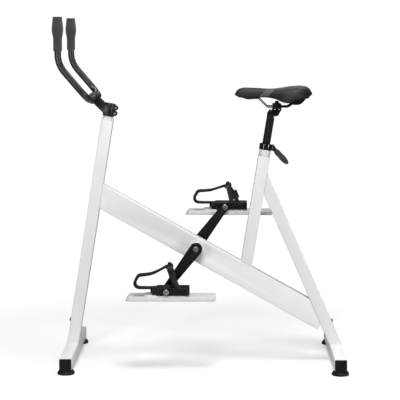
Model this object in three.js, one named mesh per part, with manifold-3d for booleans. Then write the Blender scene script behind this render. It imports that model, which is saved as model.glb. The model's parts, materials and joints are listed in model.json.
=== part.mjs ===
// Aqua bike: a free-standing pool exercise bike with a welded frame of square tubes, a bent handlebar,
// a padded saddle on a quick-release seat post, and cranks whose pedals carry water paddles.
// Millimetres, +X to the rear, +Z up, rider's left on -Y, origin on the floor under the middle of the bike.
import * as THREE from 'three';
import { mergeVertices } from 'three/addons/utils/BufferGeometryUtils.js';
import Module from 'manifold-3d';

const wasm = await Module();
wasm.setup();
const degrees = THREE.MathUtils.degToRad;

// Clearances and cutting
const seatGap = 0.3;
const turnGap = 0.4;
const runningGap = 0.5;
const cutOverrun = 2;
const cutReach = 1500;
const weldDistance = 0.0005;
const roundSides = 20;
const smallSides = 12;
const cornerSteps = 2;
const roundedSteps = 4;

// Stance
const wheelbase = 913;
const crossbarLength = 520;
const footDiameter = 58;
const footHeight = 15;
const footShoulder = 8;
const footTopDiameter = 44;
const footRim = 8;
const footRecess = 2;
const footSides = 16;
const footStudDiameter = 10;
const footStudLength = 12;
const footInset = 26;

// Square and rectangular tubes
const tubeSide = 40;
const tubeWall = 2;
const tubeCorner = 3;
const beamHeight = 80;
const capFlange = 4;
const capPlugDepth = 14;
const capPlugWall = 2.5;
const capEdge = 1.2;

// Frame layout along the tubes
const frontLean = degrees(9.2);
const frontPostLength = 789;
const beamFall = degrees(29.2);
const beamJoinHeight = 532;
const beamTailLength = 900;
const seatTubeDistance = 586;
const seatLean = degrees(9.1);
const seatTubeTop = 61.66;
const rearLean = degrees(23.65);
const rearLegReach = 700;

// Crossbar stubs that plug into the uprights, and their bolts
const stubPlay = 0.6;
const stubWall = 2.5;
const stubLength = 120;
const stubBoltHeight = 79;
const stubBoltDiameter = 8;
const stubBoltHeadDiameter = 14;
const stubBoltHeadHeight = 5.5;
const stubBoltDomeShare = 0.85;
const stubNutSide = 13;
const stubNutDepth = 6;

// Steerer on the front post
const steererPlate = 3;
const steererCollarDiameter = 34;
const steererCollarHeight = 12;
const steererDiameter = 28.6;
const steererBoreDiameter = 23;
const steererBoreDepth = 40;

// Stem
const stemHeight = 41;
const stemClampDiameter = 39.6;
const stemSlit = 2.5;
const stemReach = 57;
const stemLift = 53.6;
const stemArmRoot = 12.8;
const stemArmDepth = 30;
const stemArmWidth = 34;
const stemArmCorner = 7;
const pinchOffset = 21.3;
const pinchLowHeight = 11.6;
const pinchSpacing = 19;
const pinchLobeDiameter = 17;
const pinchHeadSink = 3;
const pinchEarWidth = 24;
const barClampDiameter = 40;
const barClampWidth = 42;
const barClampSplit = 2;
const barEarOffset = 19.5;
const barEarWidth = 15;
const barEarDepth = 20;
const barEarLength = 10;
const smallBoltDiameter = 5;
const smallBoltHeadDiameter = 7.5;
const smallBoltHeadHeight = 4.5;
const smallBoltBite = 9;
const socketWidth = 4;
const socketDepth = 2.5;
const topCapThickness = 3;
const topCapRimShare = 0.7;
const topCapPlugDepth = 8;
const topCapPlugWall = 2;

// Handlebar
const barDiameter = 22.2;
const barBulgeDiameter = 25.4;
const barBulgeLength = 60;
const barHalfWidth = 200;
const barForward = 99.5;
const barKneeHeight = 117;
const barEndHeight = 268;
const barCornerRadius = 45;
const barKneeRadius = 90;
const barSides = 12;
const barCornerSteps = 6;
const barKneeSteps = 4;
const gripStandoff = 10.2;
const gripCap = 4;
const gripEndDiameter = 31;
const gripBellyDiameter = 38;
const gripWaistDiameter = 29.2;
const gripBellyShare = 0.37;
const gripWaistShare = 0.68;
const gripSteps = 7;
const gripEdge = 2;

// Seat post clamping
const sleeveOuterDiameter = 40;
const sleeveExposedHeight = 22;
const sleeveClampDiameter = 32.4;
const sleeveClampHeight = 19;
const sleeveHiddenDiameter = 34.6;
const sleeveHiddenLength = 80;
const postDiameter = 27.2;
const postWall = 2.6;
const collarDiameter = 44;
const collarHeight = 20;
const collarEarReach = 30;
const collarEarWidth = 33;
const collarEarHeight = 13;
const collarSlit = 3;
const skewerDiameter = 6;
const skewerOffset = 24;
const skewerNutDiameter = 19;
const skewerNutLength = 8;
const skewerNutRimShare = 0.7;
const leverCamDiameter = 14;
const leverCamLength = 17;
const leverPinDiameter = 5;
const leverLength = 77;
const leverWidth = 19;
const leverNeckShare = 0.36;
const leverSwellShare = 0.35;
const leverWidestShare = 0.62;
const leverTipShare = 0.97;
const leverThickness = 6;
const leverDrop = degrees(47);

// Seat post head and rail clamp
const postInsertLength = 170;
const postExposedLength = 140;
const headSetback = 15;
const clampHeight = 174.5;
const headWidth = 32;
const headShoulderRise = 8;
const headFrontReach = 7;
const headFrontHeight = 163;
const headRearReach = 32;
const headRearHeight = 166;
const headFootReach = 23;
const headFootHeight = 144;
const cradleRadius = 14;
const cradleWidth = 54;
const cradleLength = 30;
const cradleSlab = 4;
const cradleCheekDepth = 11;
const railClampHeight = 11;
const railClampEdge = 3;
const clampBoltDiameter = 8;
const clampNutDiameter = 14;
const clampNutHeight = 8;
const clampNutRimShare = 0.6;
const clampPocketWidth = 17;
const clampPocketLength = 28;
const clampPocketRise = 10;
const clampSlotLength = 19;
const clampBoltHeadHeight = 6;
const clampBoltHeadDiameter = 13;

// Saddle
const railDiameter = 7;
const railHalfSpacing = 22;
const railSides = 8;
const railRearEnd = 70;
const railRearEndRise = 21;
const railRearBend = 36;
const railFrontBend = 33;
const railFrontTop = 62;
const railFrontRise = 29;
const railFrontTopHalf = 13;
const railNoseReach = 104;
const railNoseHalf = 9;
const railBendRadius = 12;
const railNoseRadius = 8;
const railBendSteps = 3;
const saddleLength = 264;
const saddleNoseAhead = 144;
const saddleHeight = 70;
const saddleHalfWidth = 80;
const saddleNoseRoof = 40;
const saddleTailRoof = 33;
const saddleStations = 24;
const saddleSideSteps = 6;
const saddleRim = 6;
const saddleLip = 3;
const saddleShellGap = 1.5;
const saddleShellWall = 3;
const saddleShellInset = 3;
const nosePodReach = 118;
const nosePodEnd = 70;
const nosePodRamp = 14;
const nosePodRampRise = 5;
const nosePodHalf = 15.5;
const nosePodFloor = 24.6;
const rearPodStart = 50;
const rearPodEnd = 102;
const rearPodCorner = 8;
const rearPodFlat = 12;
const rearPodRise = 29;
const rearPodHalf = 32;
const rearPodFloor = 6.5;

// Shares of the saddle's length, height and half width that shape it from nose to tail
const saddlePlaceShares = [0, 0.03, 0.09, 0.19, 0.31, 0.42, 0.52, 0.62, 0.7, 0.78, 0.85, 0.92, 0.97, 1];
const saddleTopShares = [
  0.63, 0.79, 0.9, 0.905, 0.885, 0.857, 0.865, 0.915, 0.965, 0.993, 1, 0.957, 0.85, 0.69,
];
const saddleEdgeShares = [
  0.54, 0.46, 0.4, 0.36, 0.43, 0.457, 0.343, 0.17, 0.145, 0.31, 0.37, 0.4, 0.48, 0.57,
];
const saddleWidthShares = [0.08, 0.2, 0.25, 0.28, 0.325, 0.475, 0.69, 0.9, 0.99, 1, 0.925, 0.69, 0.4, 0.12];
const saddleTopPower = 0.55;
const saddleSidePower = 0.85;
const saddleUnderPower = 2.5;

// Bottom bracket and cranks
const bottomBracketDistance = 392;
const bottomBracketRise = 5;
const shellDiameter = 42;
const shellBore = 32;
const shellLength = 68;
const bushWall = 6.6;
const bushFlangeDiameter = 38;
const bushFlange = 3;
const spindleDiameter = 17;
const spindleSquare = 12.4;
const crankLength = 165;
const crankRise = degrees(53.2);
const crankHeadDiameter = 43;
const crankEndDiameter = 25;
const crankThickness = 16;
const crankInnerFace = 46;
const crankEdge = 1.5;
const crankBoltDiameter = 8;
const crankBoltBore = 22;
const crankBoltRecess = 4;
const crankBoltFlange = 1.6;
const crankBoltHeadDiameter = 15;
const crankBoltHeadHeight = 5;
const crankBoltBite = 14;

// Pedals, placed from their axles
const pedalInnerFace = 76;
const pedalWidth = 78;
const pedalFront = 35;
const pedalRear = 78;
const pedalDepth = 24;
const pedalCorner = 10;
const pedalGrooves = 3;
const pedalGroovePitch = 7;
const pedalGrooveWidth = 2.5;
const pedalGrooveDepth = 1.5;
const pedalGrooveSpan = 54;
const pedalGrooveInset = 9;
const pedalWindowFront = 14;
const pedalWindowRear = 52;
const pedalWindowWidth = 48;
const pedalWindowBar = 5;
const pedalBlockReach = 48;
const pedalBlockWidth = 56;
const pedalBlockDepth = 21;
const axleDiameter = 11;
const axleThreadDiameter = 14;
const axleFlangeDiameter = 20;
const axleFlange = 4;
const axleHeadDiameter = 19.5;
const axleHead = 5;
const axleGroove = 2;
const dustCapDiameter = 20;
const dustCapLength = 8;
const dustCapWall = 2;
const dustCapSlotLength = 12;
const dustCapSlotWidth = 3;
const dustCapSlotDepth = 2;

// Toe clips, placed from the pedal axles
const clipWidth = 26;
const clipReach = 104;
const clipBrow = 57;
const clipStart = 53;
const clipStartHeight = 9;
const clipFootThickness = 4;
const clipFootHeight = 17;
const clipThickness = 5;
const clipToeThickness = 8.5;
const clipToePlaceShare = 0.42;
const clipToePower = 3;
const clipLowerReachShares = [0.78, 0.92, 0.99, 1, 0.965, 0.89];
const clipLowerRiseShares = [0.16, 0.2, 0.36, 0.56, 0.83, 0.985];
const clipUpperReachShares = [0.72, 0.5, 0.28];
const clipUpperRiseShares = [0.1, 0.25, 0.56];
const clipLoopWidth = 18;
const clipLoopWall = 2.4;
const clipLoopRoom = 1.2;
const clipTabLength = 9;
const clipTabRise = 9;
const clipTabTipLength = 7;

// Toe straps, placed from the pedal axles
const strapWidth = 17;
const strapThickness = 2.5;
const strapHalfSpan = 33;
const strapFootRear = 36;
const strapFootHeight = 4;
const strapCrownRear = 10;
const strapCrownHeight = { left: 75, right: 65.5 };
const strapBuried = 11;
const strapSteps = 16;
const strapSidePower = 0.6;
const strapCrownPower = 0.8;
const buckleWidth = 23;
const buckleHeight = 27;
const buckleThickness = 6;
const buckleHeightShares = { left: 0.78, right: 0.68 };
const buckleSetbacks = { left: 0, right: 8 };
const buckleWindowWidth = 5;
const buckleWindowHeight = 12;
const buckleWindowDrop = 5;

// Water paddles, placed from the pedal axles
const paddleFront = 137;
const paddleRear = 168;
const paddleWidth = 100;
const paddleTop = 18;
const paddleDepth = 12;
const paddleSkin = 3;
const paddleRib = 3;
const paddleCrossRibs = 6;
const paddleFrontCorner = 16;
const paddleRearCorner = 8;
const paddleHubFront = 74;
const paddleHubRear = 76;
const paddleHubWidth = 70;
const paddleHubCorner = 18;
const paddleFrontTaper = 10;
const paddleRearTaper = 3;

// Finishes
const whitePaint = { color: 0xe9e9e7, roughness: 0.38, metalness: 0.05 };
const blackPaint = { color: 0x151515, roughness: 0.3, metalness: 0.35 };
const blackPlastic = { color: 0x1d1d1e, roughness: 0.55, metalness: 0 };
const blackRubber = { color: 0x232323, roughness: 0.85, metalness: 0 };
const greyFoam = { color: 0x3f3f41, roughness: 0.95, metalness: 0 };
const greyWebbing = { color: 0x54565a, roughness: 0.9, metalness: 0 };
const palePlastic = { color: 0xdcdddd, roughness: 0.5, metalness: 0 };
const darkCover = { color: 0x3a3a3c, roughness: 0.7, metalness: 0 };
const steel = { color: 0xbfc1c3, roughness: 0.3, metalness: 0.9 };

// Joining and cutting

function solidOf(geometry) {
  const bare = geometry.clone();
  bare.deleteAttribute('normal');
  bare.deleteAttribute('uv');
  const merged = mergeVertices(bare, weldDistance);
  const corners = merged.attributes.position;
  const index = merged.index;
  const faces = [];
  let volume = 0;
  const [a, b, c] = [new THREE.Vector3(), new THREE.Vector3(), new THREE.Vector3()];
  for (let i = 0; i < index.count; i += 3) {
    const face = [index.getX(i), index.getX(i + 1), index.getX(i + 2)];
    if (new Set(face).size < 3) {
      continue;
    }
    a.fromBufferAttribute(corners, face[0]);
    b.fromBufferAttribute(corners, face[1]);
    c.fromBufferAttribute(corners, face[2]);
    volume += a.dot(b.cross(c));
    faces.push(face);
  }
  const outward = volume < 0 ? faces.map((face) => [face[0], face[2], face[1]]) : faces;
  return new wasm.Manifold(new wasm.Mesh({
    numProp: 3,
    vertProperties: new Float32Array(corners.array),
    triVerts: new Uint32Array(outward.flat()),
  }));
}

function asSolid(shape) {
  return shape.isBufferGeometry ? solidOf(shape) : shape;
}

function join(...shapes) {
  return shapes.map(asSolid).reduce((whole, next) => whole.add(next));
}

function cut(shape, ...tools) {
  return tools.map(asSolid).reduce((rest, tool) => rest.subtract(tool), asSolid(shape));
}

function common(shape, other) {
  return asSolid(shape).intersect(asSolid(other));
}

function geometryOf(solid) {
  const mesh = solid.getMesh();
  const geometry = new THREE.BufferGeometry();
  geometry.setAttribute('position', new THREE.BufferAttribute(new Float32Array(mesh.vertProperties), 3));
  geometry.setIndex(new THREE.BufferAttribute(new Uint32Array(mesh.triVerts), 1));
  geometry.computeVertexNormals();
  return geometry;
}

function addPiece(group, name, shape, finish) {
  const mesh = new THREE.Mesh(geometryOf(asSolid(shape)), new THREE.MeshStandardMaterial(finish));
  mesh.name = name;
  group.add(mesh);
}

// Basic shapes

function block(width, depth, height, x, y, z) {
  return new THREE.BoxGeometry(width, depth, height).translate(x, y, z);
}

function rodAlongY(diameter, length, x, y, z, sides = roundSides) {
  return new THREE.CylinderGeometry(diameter / 2, diameter / 2, length, sides).translate(x, y, z);
}

function rodAlongZ(diameter, length, x, y, z, sides = roundSides) {
  const rod = new THREE.CylinderGeometry(diameter / 2, diameter / 2, length, sides);
  return rod.rotateX(Math.PI / 2).translate(x, y, z);
}

function rodAlongX(diameter, length, x, y, z, sides = roundSides) {
  const rod = new THREE.CylinderGeometry(diameter / 2, diameter / 2, length, sides);
  return rod.rotateZ(Math.PI / 2).translate(x, y, z);
}

// A profile of [radius, height] pairs turned about +Z.
function revolve(profile, sides = roundSides) {
  const points = profile.map(([radius, height]) => new THREE.Vector2(radius, height));
  const closesOnAxis = profile[0][0] === 0 && profile.at(-1)[0] === 0;
  if (!closesOnAxis) {
    points.push(points[0].clone());
  }
  return new THREE.LatheGeometry(points, sides).rotateX(Math.PI / 2);
}

function roundedOutline(width, height, corner) {
  const right = width / 2 - corner;
  const top = height / 2 - corner;
  const outline = new THREE.Shape();
  outline.moveTo(width / 2, -top);
  outline.absarc(right, top, corner, 0, Math.PI / 2, false);
  outline.absarc(-right, top, corner, Math.PI / 2, Math.PI, false);
  outline.absarc(-right, -top, corner, Math.PI, 1.5 * Math.PI, false);
  outline.absarc(right, -top, corner, 1.5 * Math.PI, 2 * Math.PI, false);
  return outline;
}

function extrude(outline, depth, curveSegments = cornerSteps) {
  return new THREE.ExtrudeGeometry(outline, { depth, bevelEnabled: false, curveSegments });
}

// A rectangular tube along +Z from z = 0, its width on X and its depth on Y.
function boxTube(width, depth, wall, corner, length) {
  const outline = roundedOutline(width, depth, corner);
  const bore = roundedOutline(width - 2 * wall, depth - 2 * wall, Math.max(corner - wall, wall / 4));
  outline.holes.push(bore);
  return extrude(outline, length);
}

// An outline in the side plane, its x to the rear and its y up, made thick across the bike.
function plateAcross(outline, thickness, middleY, curveSegments = roundedSteps) {
  const plate = extrude(outline, thickness, curveSegments);
  return plate.rotateX(Math.PI / 2).translate(0, middleY + thickness / 2, 0);
}

// A strip of varying thickness along points in a plane.
function stripOutline(points, thicknesses) {
  const left = [];
  const right = [];
  points.forEach((point, i) => {
    const before = points[Math.max(i - 1, 0)];
    const after = points[Math.min(i + 1, points.length - 1)];
    const run = after.clone().sub(before).normalize();
    const aside = new THREE.Vector2(-run.y, run.x).multiplyScalar(thicknesses[i] / 2);
    left.push(point.clone().add(aside));
    right.unshift(point.clone().sub(aside));
  });
  return new THREE.Shape([...left, ...right]);
}

// Straight runs joined by round bends, with the points only where it bends.
function bentRun(corners, radii, stepsPerBend) {
  const points = [corners[0].clone()];
  for (let i = 1; i < corners.length - 1; i += 1) {
    const back = corners[i - 1].clone().sub(corners[i]).normalize();
    const ahead = corners[i + 1].clone().sub(corners[i]).normalize();
    const halfAngle = Math.acos(THREE.MathUtils.clamp(back.dot(ahead), -1, 1)) / 2;
    const tangent = radii[i - 1] / Math.tan(halfAngle);
    const inward = back.clone().add(ahead).normalize();
    const centre = corners[i].clone().addScaledVector(inward, radii[i - 1] / Math.sin(halfAngle));
    const from = corners[i].clone().addScaledVector(back, tangent).sub(centre);
    const sweep = Math.PI - 2 * halfAngle;
    for (let step = 0; step <= stepsPerBend[i - 1]; step += 1) {
      const angle = sweep * step / stepsPerBend[i - 1];
      const spoke = from.clone().multiplyScalar(Math.cos(angle));
      points.push(centre.clone().add(spoke.addScaledVector(back, -radii[i - 1] * Math.sin(angle))));
    }
  }
  points.push(corners.at(-1).clone());
  return points;
}

// A path through given points that is sampled at those points alone.
class PointPath extends THREE.Curve {
  constructor(points) {
    super();
    this.points = points;
  }

  getUtoTmapping(u) {
    return u;
  }

  getPoint(t, target = new THREE.Vector3()) {
    const place = THREE.MathUtils.clamp(t, 0, 1) * (this.points.length - 1);
    const before = Math.min(Math.floor(place), this.points.length - 2);
    return target.lerpVectors(this.points[before], this.points[before + 1], place - before);
  }
}

function roundTube(points, diameter, sides) {
  const section = new THREE.Shape();
  for (let i = 0; i < sides; i += 1) {
    const angle = 2 * Math.PI * i / sides;
    const corner = [diameter / 2 * Math.cos(angle), diameter / 2 * Math.sin(angle)];
    if (i === 0) {
      section.moveTo(...corner);
    } else {
      section.lineTo(...corner);
    }
  }
  const path = new PointPath(points);
  const steps = points.length - 1;
  return new THREE.ExtrudeGeometry(section, { steps, extrudePath: path, bevelEnabled: false });
}

// Rings of equally many points joined into one closed skin.
function loft(rings) {
  const size = rings[0].length;
  const corners = rings.flat().flatMap((point) => [point.x, point.y, point.z]);
  const faces = [];
  for (let ring = 0; ring < rings.length - 1; ring += 1) {
    for (let i = 0; i < size; i += 1) {
      const next = (i + 1) % size;
      const here = ring * size;
      const beyond = here + size;
      faces.push(here + i, here + next, beyond + next, here + i, beyond + next, beyond + i);
    }
  }
  const last = (rings.length - 1) * size;
  for (let i = 1; i < size - 1; i += 1) {
    faces.push(0, i + 1, i, last, last + i, last + i + 1);
  }
  const skin = new THREE.BufferGeometry();
  skin.setAttribute('position', new THREE.Float32BufferAttribute(corners, 3));
  skin.setIndex(faces);
  return skin;
}

// The centreline of a straight member in the side plane.
// A lean of zero is upright, a positive one tips it rearward.
class MemberLine {
  constructor(x, z, lean) {
    this.x = x;
    this.z = z;
    this.lean = lean;
  }

  point(along, aside = 0) {
    const x = this.x + along * Math.sin(this.lean) + aside * Math.cos(this.lean);
    const z = this.z + along * Math.cos(this.lean) - aside * Math.sin(this.lean);
    return new THREE.Vector3(x, 0, z);
  }

  matrix(along = 0) {
    return new THREE.Matrix4().makeRotationY(this.lean).setPosition(this.point(along));
  }

  place(geometry, along = 0) {
    return geometry.applyMatrix4(this.matrix(along));
  }

  // Everything beyond a plane along this member, offset to one side of it.
  beyondSide(aside, direction) {
    const middle = aside + direction * cutReach / 2;
    return this.place(block(cutReach, cutReach, 2 * cutReach, middle, 0, 0));
  }

  // Everything beyond a plane square to this member.
  beyondEnd(along) {
    return this.place(block(cutReach, cutReach, cutReach, 0, 0, cutReach / 2), along);
  }

  // Where this member's centreline crosses another's, measured along this one.
  crossing(other) {
    const across = Math.sin(this.lean - other.lean);
    const [dx, dz] = [other.x - this.x, other.z - this.z];
    return (dx * Math.cos(other.lean) - dz * Math.sin(other.lean)) / across;
  }
}

// The frame's lines
const crossbarTop = footHeight + tubeSide;
const frontLine = new MemberLine(-wheelbase / 2, crossbarTop, frontLean);
const beamStart = frontLine.point(beamJoinHeight);
const beamLine = new MemberLine(beamStart.x, beamStart.z, Math.PI / 2 + beamFall);
const seatStart = beamLine.point(seatTubeDistance);
const seatLine = new MemberLine(seatStart.x, seatStart.z, seatLean);
const rearLine = new MemberLine(wheelbase / 2, crossbarTop, -rearLean);
const seatTubeLength = seatLine.crossing(rearLine) + seatTubeTop;
const bottomBracket = beamLine.point(bottomBracketDistance, -bottomBracketRise);

function belowHeight(height) {
  return block(2 * cutReach, cutReach, cutReach, 0, 0, height - cutReach / 2);
}

// Frame members

const tubeBore = tubeSide - 2 * tubeWall;
const boltHoleDiameter = stubBoltDiameter + 2 * seatGap;

function uprightTube(line, length) {
  const tube = boxTube(tubeSide, tubeSide, tubeWall, tubeCorner, length + tubeSide);
  tube.translate(0, 0, -tubeSide);
  return cut(line.place(tube), belowHeight(crossbarTop + seatGap));
}

function boltHole(line, outward) {
  const hole = rodAlongX(boltHoleDiameter, tubeSide, outward * tubeSide / 2, 0, stubBoltHeight, smallSides);
  return line.place(hole);
}

function frontPost() {
  return cut(uprightTube(frontLine, frontPostLength), boltHole(frontLine, -1));
}

function mainBeam() {
  const beam = boxTube(beamHeight, tubeSide, tubeWall, tubeCorner, beamTailLength);
  const holeDiameter = shellDiameter + 2 * seatGap;
  const shellHole = rodAlongY(holeDiameter, 2 * tubeSide, bottomBracket.x, 0, bottomBracket.z);
  return cut(
    beamLine.place(beam),
    frontLine.beyondSide(tubeSide / 2 + seatGap, -1),
    rearLine.beyondSide(-tubeSide / 2 - seatGap, 1),
    shellHole,
  );
}

function seatTube() {
  const tube = boxTube(tubeSide, tubeSide, tubeWall, tubeCorner, seatTubeLength);
  return cut(seatLine.place(tube), beamLine.beyondSide(-beamHeight / 2 - seatGap, 1));
}

function rearLeg() {
  const leg = uprightTube(rearLine, rearLegReach);
  return cut(leg, seatLine.beyondSide(tubeSide / 2 + seatGap, -1), boltHole(rearLine, 1));
}

function crossbar(line, outward) {
  const length = crossbarLength - 2 * capFlange - 2 * seatGap;
  const tube = boxTube(tubeSide, tubeSide, tubeWall, tubeCorner, length).translate(0, 0, -length / 2);
  tube.rotateX(Math.PI / 2).translate(line.x, 0, footHeight + tubeSide / 2);
  const stubSide = tubeBore - 2 * stubPlay;
  const stub = boxTube(stubSide, stubSide, stubWall, tubeWall, stubLength + tubeSide);
  stub.translate(0, 0, -tubeSide);
  const standing = cut(line.place(stub), belowHeight(crossbarTop - tubeWall / 2));
  const nutMiddle = outward * (stubSide / 2 - stubWall - stubNutDepth / 2 + tubeWall / 4);
  const nut = block(stubNutDepth, stubNutSide, stubNutSide, nutMiddle, 0, stubBoltHeight);
  const studHoles = [-1, 1].map((side) => {
    const y = side * (crossbarLength / 2 - footInset);
    return rodAlongZ(footStudDiameter + 2 * turnGap, 2 * footStudLength, line.x, y, footHeight, smallSides);
  });
  return cut(join(tube, standing, line.place(nut)), boltHole(line, outward), ...studHoles);
}

function endCap(line, side) {
  const flange = new THREE.ExtrudeGeometry(roundedOutline(tubeSide, tubeSide, tubeCorner), {
    depth: capFlange - capEdge,
    bevelEnabled: true,
    bevelThickness: capEdge,
    bevelSize: capEdge,
    bevelOffset: -capEdge,
    bevelSegments: 1,
    curveSegments: cornerSteps,
  });
  const backOff = block(tubeSide, tubeSide, 2 * capEdge, 0, 0, -capEdge);
  const plugSide = tubeBore - 2 * seatGap;
  const plug = boxTube(plugSide, plugSide, capPlugWall, tubeCorner - tubeWall, capPlugDepth + capPlugWall);
  plug.translate(0, 0, -capPlugDepth);
  const cap = geometryOf(join(cut(flange, backOff), plug));
  cap.rotateX(-side * Math.PI / 2);
  return cap.translate(line.x, side * (crossbarLength / 2 - capFlange), footHeight + tubeSide / 2);
}

function foot(line, side) {
  const top = footHeight - seatGap;
  const disc = revolve([
    [0, footRecess],
    [footDiameter / 2 - footRim, footRecess],
    [footDiameter / 2 - footRim, 0],
    [footDiameter / 2, 0],
    [footDiameter / 2, footShoulder],
    [footTopDiameter / 2, top],
    [footStudDiameter / 2, top],
    [footStudDiameter / 2, top + footStudLength],
    [0, top + footStudLength],
  ], footSides);
  return disc.translate(line.x, side * (crossbarLength / 2 - footInset), 0);
}

function stubBolt(line, outward) {
  const shank = tubeWall + stubPlay + stubWall + stubNutDepth;
  const bolt = revolve([
    [0, -shank],
    [stubBoltDiameter / 2, -shank],
    [stubBoltDiameter / 2, 0],
    [stubBoltHeadDiameter / 2, 0],
    [stubBoltHeadDiameter / 2, stubBoltHeadHeight / 3],
    [stubBoltHeadDiameter / 3, stubBoltHeadHeight * stubBoltDomeShare],
    [stubBoltHeadDiameter / 6, stubBoltHeadHeight],
    [0, stubBoltHeadHeight],
  ], smallSides);
  bolt.rotateY(outward * Math.PI / 2).translate(outward * (tubeSide / 2 + seatGap), 0, stubBoltHeight);
  return line.place(bolt);
}

function steererTube() {
  const plate = extrude(roundedOutline(tubeSide, tubeSide, tubeCorner), steererPlate);
  const steererTop = steererCollarHeight + stemHeight - topCapThickness / 2;
  const post = revolve([
    [0, steererPlate / 2],
    [steererCollarDiameter / 2, steererPlate / 2],
    [steererCollarDiameter / 2, steererCollarHeight],
    [steererDiameter / 2, steererCollarHeight],
    [steererDiameter / 2, steererTop],
    [steererBoreDiameter / 2, steererTop],
    [steererBoreDiameter / 2, steererTop - steererBoreDepth],
    [0, steererTop - steererBoreDepth],
  ]);
  return frontLine.place(geometryOf(join(plate, post)), frontPostLength + seatGap);
}

// Bottom bracket

function bracketShell() {
  const shell = revolve([
    [shellBore / 2, -shellLength / 2],
    [shellDiameter / 2, -shellLength / 2],
    [shellDiameter / 2, shellLength / 2],
    [shellBore / 2, shellLength / 2],
  ]);
  return shell.rotateX(Math.PI / 2).translate(bottomBracket.x, 0, bottomBracket.z);
}

function bracketBush(side) {
  const outer = shellBore / 2 - seatGap;
  const bore = outer - bushWall;
  const inner = shellLength / 6;
  const face = shellLength / 2 + seatGap;
  const bush = revolve([
    [bore, inner],
    [outer, inner],
    [outer, face],
    [bushFlangeDiameter / 2, face],
    [bushFlangeDiameter / 2, face + bushFlange],
    [bore, face + bushFlange],
  ]);
  return bush.rotateX(-side * Math.PI / 2).translate(bottomBracket.x, 0, bottomBracket.z);
}

// Seat tube fittings

function seatSleeve() {
  const bore = postDiameter / 2 + seatGap;
  const shoulder = seatGap + sleeveExposedHeight;
  const tube = revolve([
    [bore, -sleeveHiddenLength],
    [sleeveHiddenDiameter / 2, -sleeveHiddenLength],
    [sleeveHiddenDiameter / 2, seatGap],
    [sleeveOuterDiameter / 2, seatGap],
    [sleeveOuterDiameter / 2, shoulder],
    [sleeveClampDiameter / 2, shoulder],
    [sleeveClampDiameter / 2, shoulder + sleeveClampHeight],
    [bore, shoulder + sleeveClampHeight],
  ]);
  const slitX = sleeveOuterDiameter / 2;
  const slitZ = shoulder + sleeveClampHeight;
  const slit = block(2 * slitX, collarSlit, 2 * sleeveClampHeight, slitX, 0, slitZ);
  return seatLine.place(geometryOf(cut(tube, slit)), seatTubeLength);
}

const collarBase = sleeveExposedHeight + 2 * seatGap;
const skewerHeight = collarBase + collarHeight / 2;

function seatCollar() {
  const ring = rodAlongZ(collarDiameter, collarHeight, 0, 0, skewerHeight);
  const earLength = collarEarReach - collarDiameter / 4;
  const earX = collarEarReach - earLength / 2;
  const ears = block(earLength, collarEarWidth, collarEarHeight, earX, 0, skewerHeight);
  const bore = rodAlongZ(sleeveClampDiameter + 2 * seatGap, 2 * collarHeight, 0, 0, skewerHeight);
  const slitX = collarEarReach / 2 + cutOverrun;
  const slit = block(collarEarReach, collarSlit, 2 * collarHeight, slitX, 0, skewerHeight);
  const holeDiameter = skewerDiameter + 2 * seatGap;
  const skewerHole = rodAlongY(holeDiameter, 2 * collarEarWidth, skewerOffset, 0, skewerHeight, smallSides);
  const collar = cut(join(ring, ears), bore, slit, skewerHole);
  return seatLine.place(geometryOf(collar), seatTubeLength);
}

const earFace = collarEarWidth / 2 + seatGap;
const leverPivotY = earFace + leverCamDiameter / 2;

// The skewer ends in a cross pin that the lever turns on.
function clampSkewer() {
  const near = -earFace - skewerNutLength + seatGap;
  const rod = rodAlongY(skewerDiameter, leverPivotY - near, 0, (leverPivotY + near) / 2, 0, smallSides);
  const pin = rodAlongZ(leverPinDiameter, leverCamLength, 0, leverPivotY, 0, smallSides);
  pin.rotateY(leverDrop - seatLean);
  const skewer = geometryOf(join(rod, pin)).translate(skewerOffset, 0, skewerHeight);
  return seatLine.place(skewer, seatTubeLength);
}

function skewerNut() {
  const inner = earFace;
  const bore = skewerDiameter / 2 + seatGap;
  const nut = revolve([
    [bore, inner],
    [skewerNutDiameter / 2, inner],
    [skewerNutDiameter / 2, inner + skewerNutLength * skewerNutRimShare],
    [skewerNutDiameter / 3, inner + skewerNutLength],
    [bore, inner + skewerNutLength],
  ]);
  nut.rotateX(Math.PI / 2).translate(skewerOffset, 0, skewerHeight);
  return seatLine.place(nut, seatTubeLength);
}

// The lever, along +X from its cross pin, with a forked cam that leaves the skewer room to turn.
function clampLever() {
  const cam = rodAlongZ(leverCamDiameter, leverCamLength, 0, 0, 0);
  const neck = leverWidth * leverNeckShare;
  const swell = leverLength * leverSwellShare;
  const widest = leverLength * leverWidestShare;
  const tip = leverLength * leverTipShare;
  const blade = new THREE.Shape();
  blade.moveTo(0, -neck);
  blade.quadraticCurveTo(swell, -neck, widest, -leverWidth / 2);
  blade.quadraticCurveTo(tip, -leverWidth / 2, leverLength, 0);
  blade.quadraticCurveTo(tip, leverWidth / 2, widest, leverWidth / 2);
  blade.quadraticCurveTo(swell, neck, 0, neck);
  const leaf = plateAcross(blade, leverThickness, leverCamDiameter / 2 - leverThickness / 2);
  const forkEnd = skewerDiameter / 2 + runningGap;
  const forkMiddle = forkEnd - leverCamDiameter;
  const fork = block(2 * leverCamDiameter, 2 * leverCamDiameter, 2 * forkEnd, forkMiddle, 0, 0);
  const pinHole = rodAlongZ(leverPinDiameter + 2 * turnGap, 2 * leverCamLength, 0, 0, 0);
  return cut(join(cam, leaf), fork, pinHole);
}

// Stem, in the frame of the steerer with z = 0 at the stem's foot

const stemArm = new MemberLine(0, stemArmRoot, Math.atan2(-stemReach, stemLift - stemArmRoot));
const stemArmLength = Math.hypot(stemReach, stemLift - stemArmRoot);
const pinchHeights = [pinchLowHeight, pinchLowHeight + pinchSpacing];
const steererBore = steererDiameter + 2 * turnGap;
const barBore = barBulgeDiameter + 2 * turnGap;

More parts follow.
